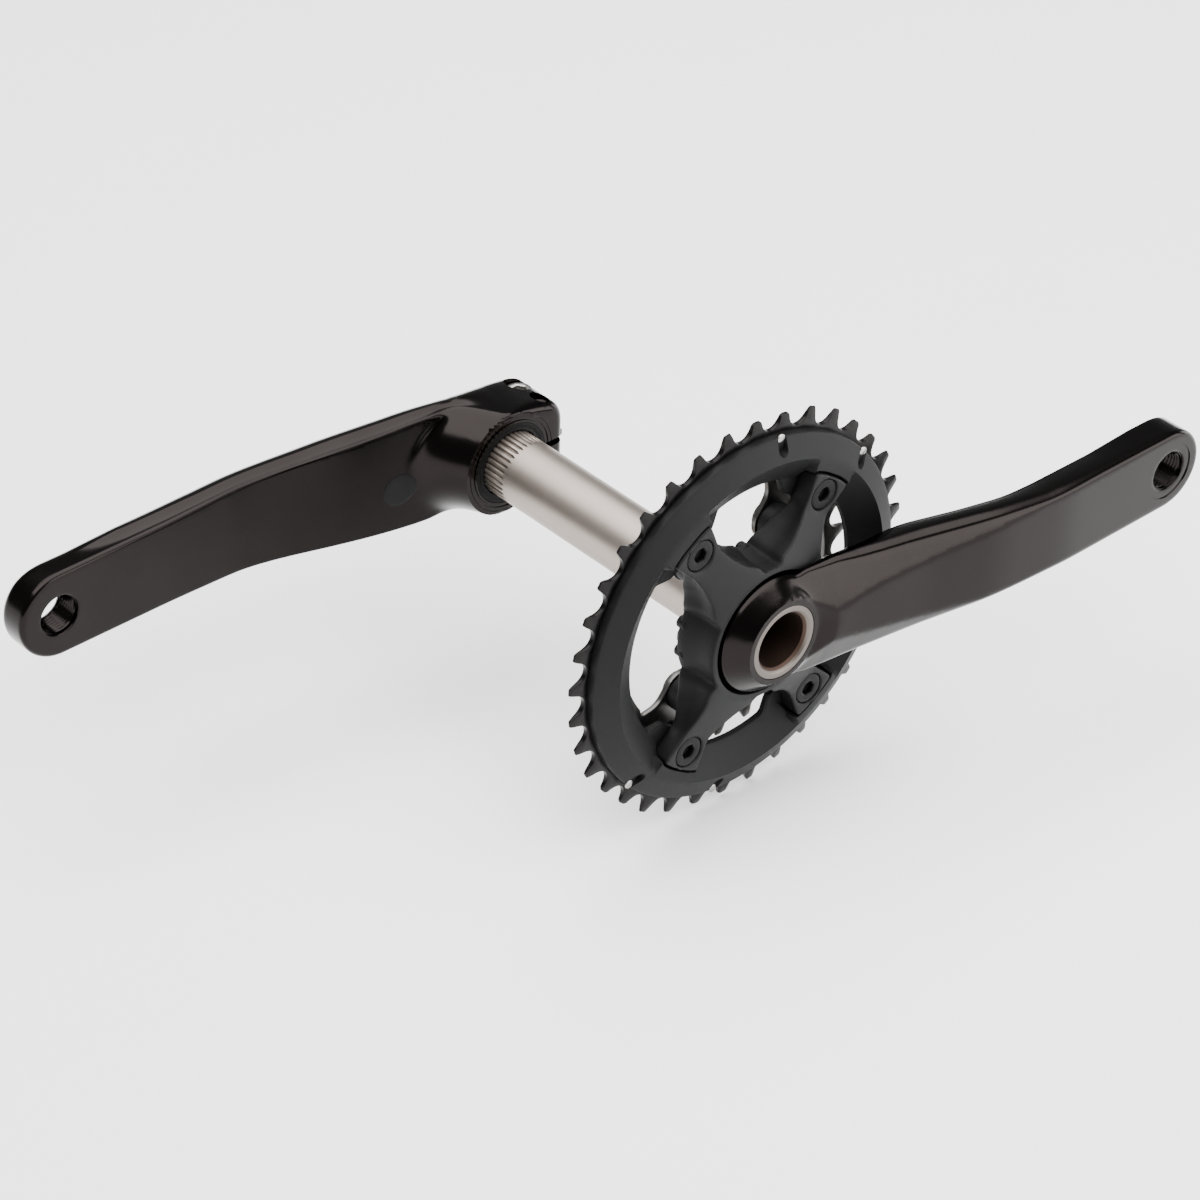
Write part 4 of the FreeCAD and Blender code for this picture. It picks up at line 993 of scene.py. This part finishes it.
def left_arm_inner(spots):
    u, v = spots[:, 0], spots[:, 1]
    r = np.hypot(u, v)
    blade = left_inside(u)
    climb = np.clip((np.degrees(np.arctan2(np.abs(v), -u)) - 5.0) / 70.0, 0, 1)
    reach = 15.0 - 9.5 * climb * climb * (3 - 2 * climb)
    t = np.clip((r - left_hub) / reach, 0, 1)
    swept = blade - (blade - left_arm_level) * (1 - t) ** 2.5
    lug = np.clip((u + 3.0) / 3.0, 0, 1)
    lug = lug * lug * (3 - 2 * lug)
    level = swept * (1 - lug) + left_arm_level * lug
    level = np.where(r < left_hub + 0.05, left_arm_level, level)
    rings = np.where((r > 16.3) & (r < 17.1), 0.35, 0.0) + np.where((r > 18.2) & (r < 18.6), 0.2, 0.0)
    return level + rings


def left_arm_outer(spots):
    u, v = spots[:, 0], spots[:, 1]
    level = left_outside(u)
    half = np.interp(u, [-170, -90, -26, 30], [16.0, 17.5, 21.6, 20.5])
    fall = np.maximum(np.abs(v) - half * 0.62, 0.0)
    eye = np.hypot(u + crank_length, v)
    return level - 0.03 * fall ** 2 - np.where(eye < spotface_radius, spotface_depth, 0.0)


left_line = [(24.3, -15.6, 9.0), (24.3, 15.6, 9.0), (6.0, 19.7, 6), (-8.0, 20.5, 6),
             (-26.0, 21.6, 8), (-55.0, 20.0, 8), (-90.0, 17.6, 8), (-125.0, 16.2, 8)]
left_line += [(*p, 0.1) for p in arc(eye_radius + 0.8, 90, 270, 40, (0.8 - crank_length, 0), closed=False)]
left_line += [(-125.0, -16.2, 8), (-90.0, -17.2, 8), (-55.0, -19.4, 8), (-26.0, -21.4, 8), (-8.0, -20.7, 6),
              (6.0, -19.7, 6)]
left_outline = even(soften(left_line, 3.0, 8), 0.8)
ring_creases = [whole_circle(r, 110) for r in
                (16.25, 16.35, 17.05, 17.15, 18.15, 18.25, 18.55, 18.65, left_hub, left_hub + 0.12)]


def near_left_eye(spots):
    return np.hypot(spots[:, 0] + crank_length, spots[:, 1]) < near_hole


def left_inner_lip(spots):
    lip = np.interp(spots[:, 0], [-185, -120, -40, -24, -12, -4, 0, 10, 17.5, 24],
                    [1.6, 1.3, 0.8, 1.0, 2.8, 2.4, 1.2, 3.7, 4.4, 3.0])
    return np.where(near_left_eye(spots), hole_lip, lip)


def left_outer_lip(spots):
    lip = np.interp(spots[:, 0], [-185, -100, 0, 26], [2.6, 5.0, 4.5, 3.0])
    return np.where(near_left_eye(spots), hole_lip, lip)


blade = plate(left_outline, [arc(eye_hole_radius, steps=60, centre=(-crank_length, 0))],
              left_arm_inner, left_arm_outer, left_inner_lip, left_outer_lip,
              flare=lambda s: 1.3 * np.interp(s[:, 0], [-160, -140, -10, 4], [0, 1, 1, 0]),
              spacing=1.1, creases=ring_creases, steps=6, walls=8)
left = new_piece("left_arm_forging", blade, arm_finish, "left_arm", "anodised_black", "left_crank_arm")
cut(left, turned([(0.0, 60.0), (15.7, 60.0), (15.7, 61.2), (15.4, 61.6), (15.4, 63.3), (12.05, 63.3),
                  (12.05, 80.5), (13.4, 80.5), (13.4, 83.6), (13.8, 86.0), (0.0, 86.0)], 128))
clamp_slot = [(u, v, w) for u in (8.0, 30.0) for v in (50.0, 95.0) for w in (-1.2, 1.2)]
cut(left, shape_of(clamp_slot, [(0, 1, 3, 2), (4, 6, 7, 5), (0, 4, 5, 1), (2, 3, 7, 6), (0, 2, 6, 4),
                                (1, 5, 7, 3)]))
clamp_reach = 17.5
clamp_bolts = (("outboard", 78.0, -90), ("inboard", 67.0, 90))


def at_the_clamp(shape, station, turn):
    """A shape made along Y, stood along Z at a clamp bolt."""
    return moved(shape, Matrix.Rotation(math.radians(turn), 4, "X"), (clamp_reach, station, 0.0))


for side, station, turn in clamp_bolts:
    hole = turned([(0.0, -30.0), (5.2, -30.0), (5.2, -9.5), (3.0, -9.5), (3.0, 13.0), (3.5, 13.5), (3.5, 30.0),
                   (0.0, 30.0)], 48)
    cut(left, at_the_clamp(hole, station, turn))
crisp_edges(left)
sticker, wire, shader = new_finish("printed_film", {"IOR": 1.45, "Specular IOR Level": 0.15})
spot = place_in_millimetres(wire)
grain = noise(spot, 3.0, 3.0)
connect(mix_colours((0.0026, 0.0026, 0.0027, 1), (0.0040, 0.0040, 0.0042, 1), grain), shader, "Base Color")
connect(0.42 + grain * 0.12, shader, "Roughness")
bumped(grain, shader, 0.004)
disc = plate(arc(6.3, steps=64, centre=(-36.0, -4.0)), [], lambda s: left_arm_inner(s) - 0.1,
             lambda s: left_arm_inner(s) + 0.3, 0.06, 0.05, spacing=1.4, steps=3, walls=2)
new_piece("left_arm_disc", disc, sticker, "left_arm", "cap_plastic")
thread = moved(pedal_thread(90.9, 101.2), shift=(-crank_length, 0, 0))
new_piece("left_arm_pedal_thread", thread, arm_finish, "left_arm", "anodised_black")


# Small parts of the left arm: a rubber seal round the spindle, two clamp bolts of bright steel with washers,
# the moulded cap that sets the bearings' play, and the stopper plate in the clamp's slot with its steel pin.
rubber, wire, shader = new_finish("seal_rubber", {"IOR": 1.5, "Specular IOR Level": 0.12})
spot = place_in_millimetres(wire)
grain = noise(spot, 1.2, 4.0)
connect(mix_colours((0.0016, 0.0016, 0.0016, 1), (0.0034, 0.0034, 0.0034, 1), grain), shader, "Base Color")
connect(0.55 + grain * 0.2, shader, "Roughness")
bumped(grain, shader, 0.03)
plastic, wire, shader = new_finish("moulded_black_plastic", {"IOR": 1.48, "Specular IOR Level": 0.25})
spot = place_in_millimetres(wire)
grain = noise(spot, 3.0, 2.0)
clouds = noise(spot, 0.1, 2.0)
connect(mix_colours((0.004, 0.004, 0.004, 1), (0.007, 0.007, 0.0073, 1), clouds), shader, "Base Color")
connect(0.36 + grain * 0.12, shader, "Roughness")
bumped(grain, shader, 0.02)

seal = turned([(12.35, 61.7), (12.7, 61.45), (13.5, 61.75), (14.3, 61.5), (15.2, 61.5), (15.4, 61.7),
               (15.4, 63.3), (12.35, 63.3)], 110, 0.15)
new_piece("hub_seal", seal, rubber, "left_arm", "seal_rubber", "left_arm_seal")
for side, station, turn in clamp_bolts:
    bolt = socket_bolt(4.9, 3.0, -14.4, -10.5, 9.4, 5.0, 2.6)
    new_piece("clamp_bolt_" + side, at_the_clamp(bolt, station, turn), bright_steel, "left_arm",
              "bright_steel", "pinch_bolt_" + side)
    washer = turned([(3.0, -10.5), (4.9, -10.5), (4.9, -9.5), (3.0, -9.5)], 48, 0.12)
    new_piece("clamp_washer_" + side, at_the_clamp(washer, station, turn), bright_steel, "left_arm",
              "bright_steel", "pinch_washer_" + side)
cap_socket = [spot_at(8.2 if k % 12 in (0, 1, 2) else 7.4, 360 * k / 96) for k in range(96)]
flange = plate(arc(13.2, steps=96), [soften(cap_socket, 0.25, 3)], 80.6, 83.35, 0.2, 0.5, spacing=2.0, walls=2)
cap = together(flange, turned([(8.6, 72.6), (9.6, 72.6), (9.92, 72.9), (9.92, 80.7), (8.6, 80.7)], 96))
new_piece("bearing_cap", cap, plastic, "cap", "cap_plastic", "preload_cap")
stopper_line = [(17.5, 82.0, 0.5), (14.0, 80.8, 1.2), (13.1, 78.0, 1.5), (14.0, 75.2, 0.8), (14.6, 74.6, 0.3),
                (14.6, 71.6, 0.5), (17.5, 71.6, 0.6), (18.6, 73.6, 1.0), (23.95, 75.4, 0.8), (23.95, 64.2, 0.3),
                (25.6, 64.2, 0.3), (26.4, 64.8, 0.4), (26.4, 66.6, 0.5), (25.6, 67.4, 0.4), (25.6, 80.0, 0.6),
                (19.0, 82.2, 1.0)]
stopper_pivot = arc(3.05, steps=40, centre=(clamp_reach, 78.0))
stopper_shape = plate(soften(stopper_line, 0.6), [stopper_pivot], -0.9, 0.9, 0.2, 0.2, spacing=1.5, walls=2)
lay_flat = Matrix(((1, 0, 0, 0), (0, 0, 1, 0), (0, 1, 0, 0), (0, 0, 0, 1)))
new_piece("stopper", moved(stopper_shape, lay_flat), plastic, "stopper", "cap_plastic", "stopper_plate")
pin = moved(turned([(0.0, 12.9), (0.4, 12.9), (0.6, 13.1), (0.6, 16.6), (0.0, 16.6)], 24),
            Matrix.Rotation(math.radians(-90), 4, "Z"), (0.0, 72.5, 0.0))
new_piece("stopper_peg", pin, bright_steel, "stopper", "bright_steel", "stopper_pin")
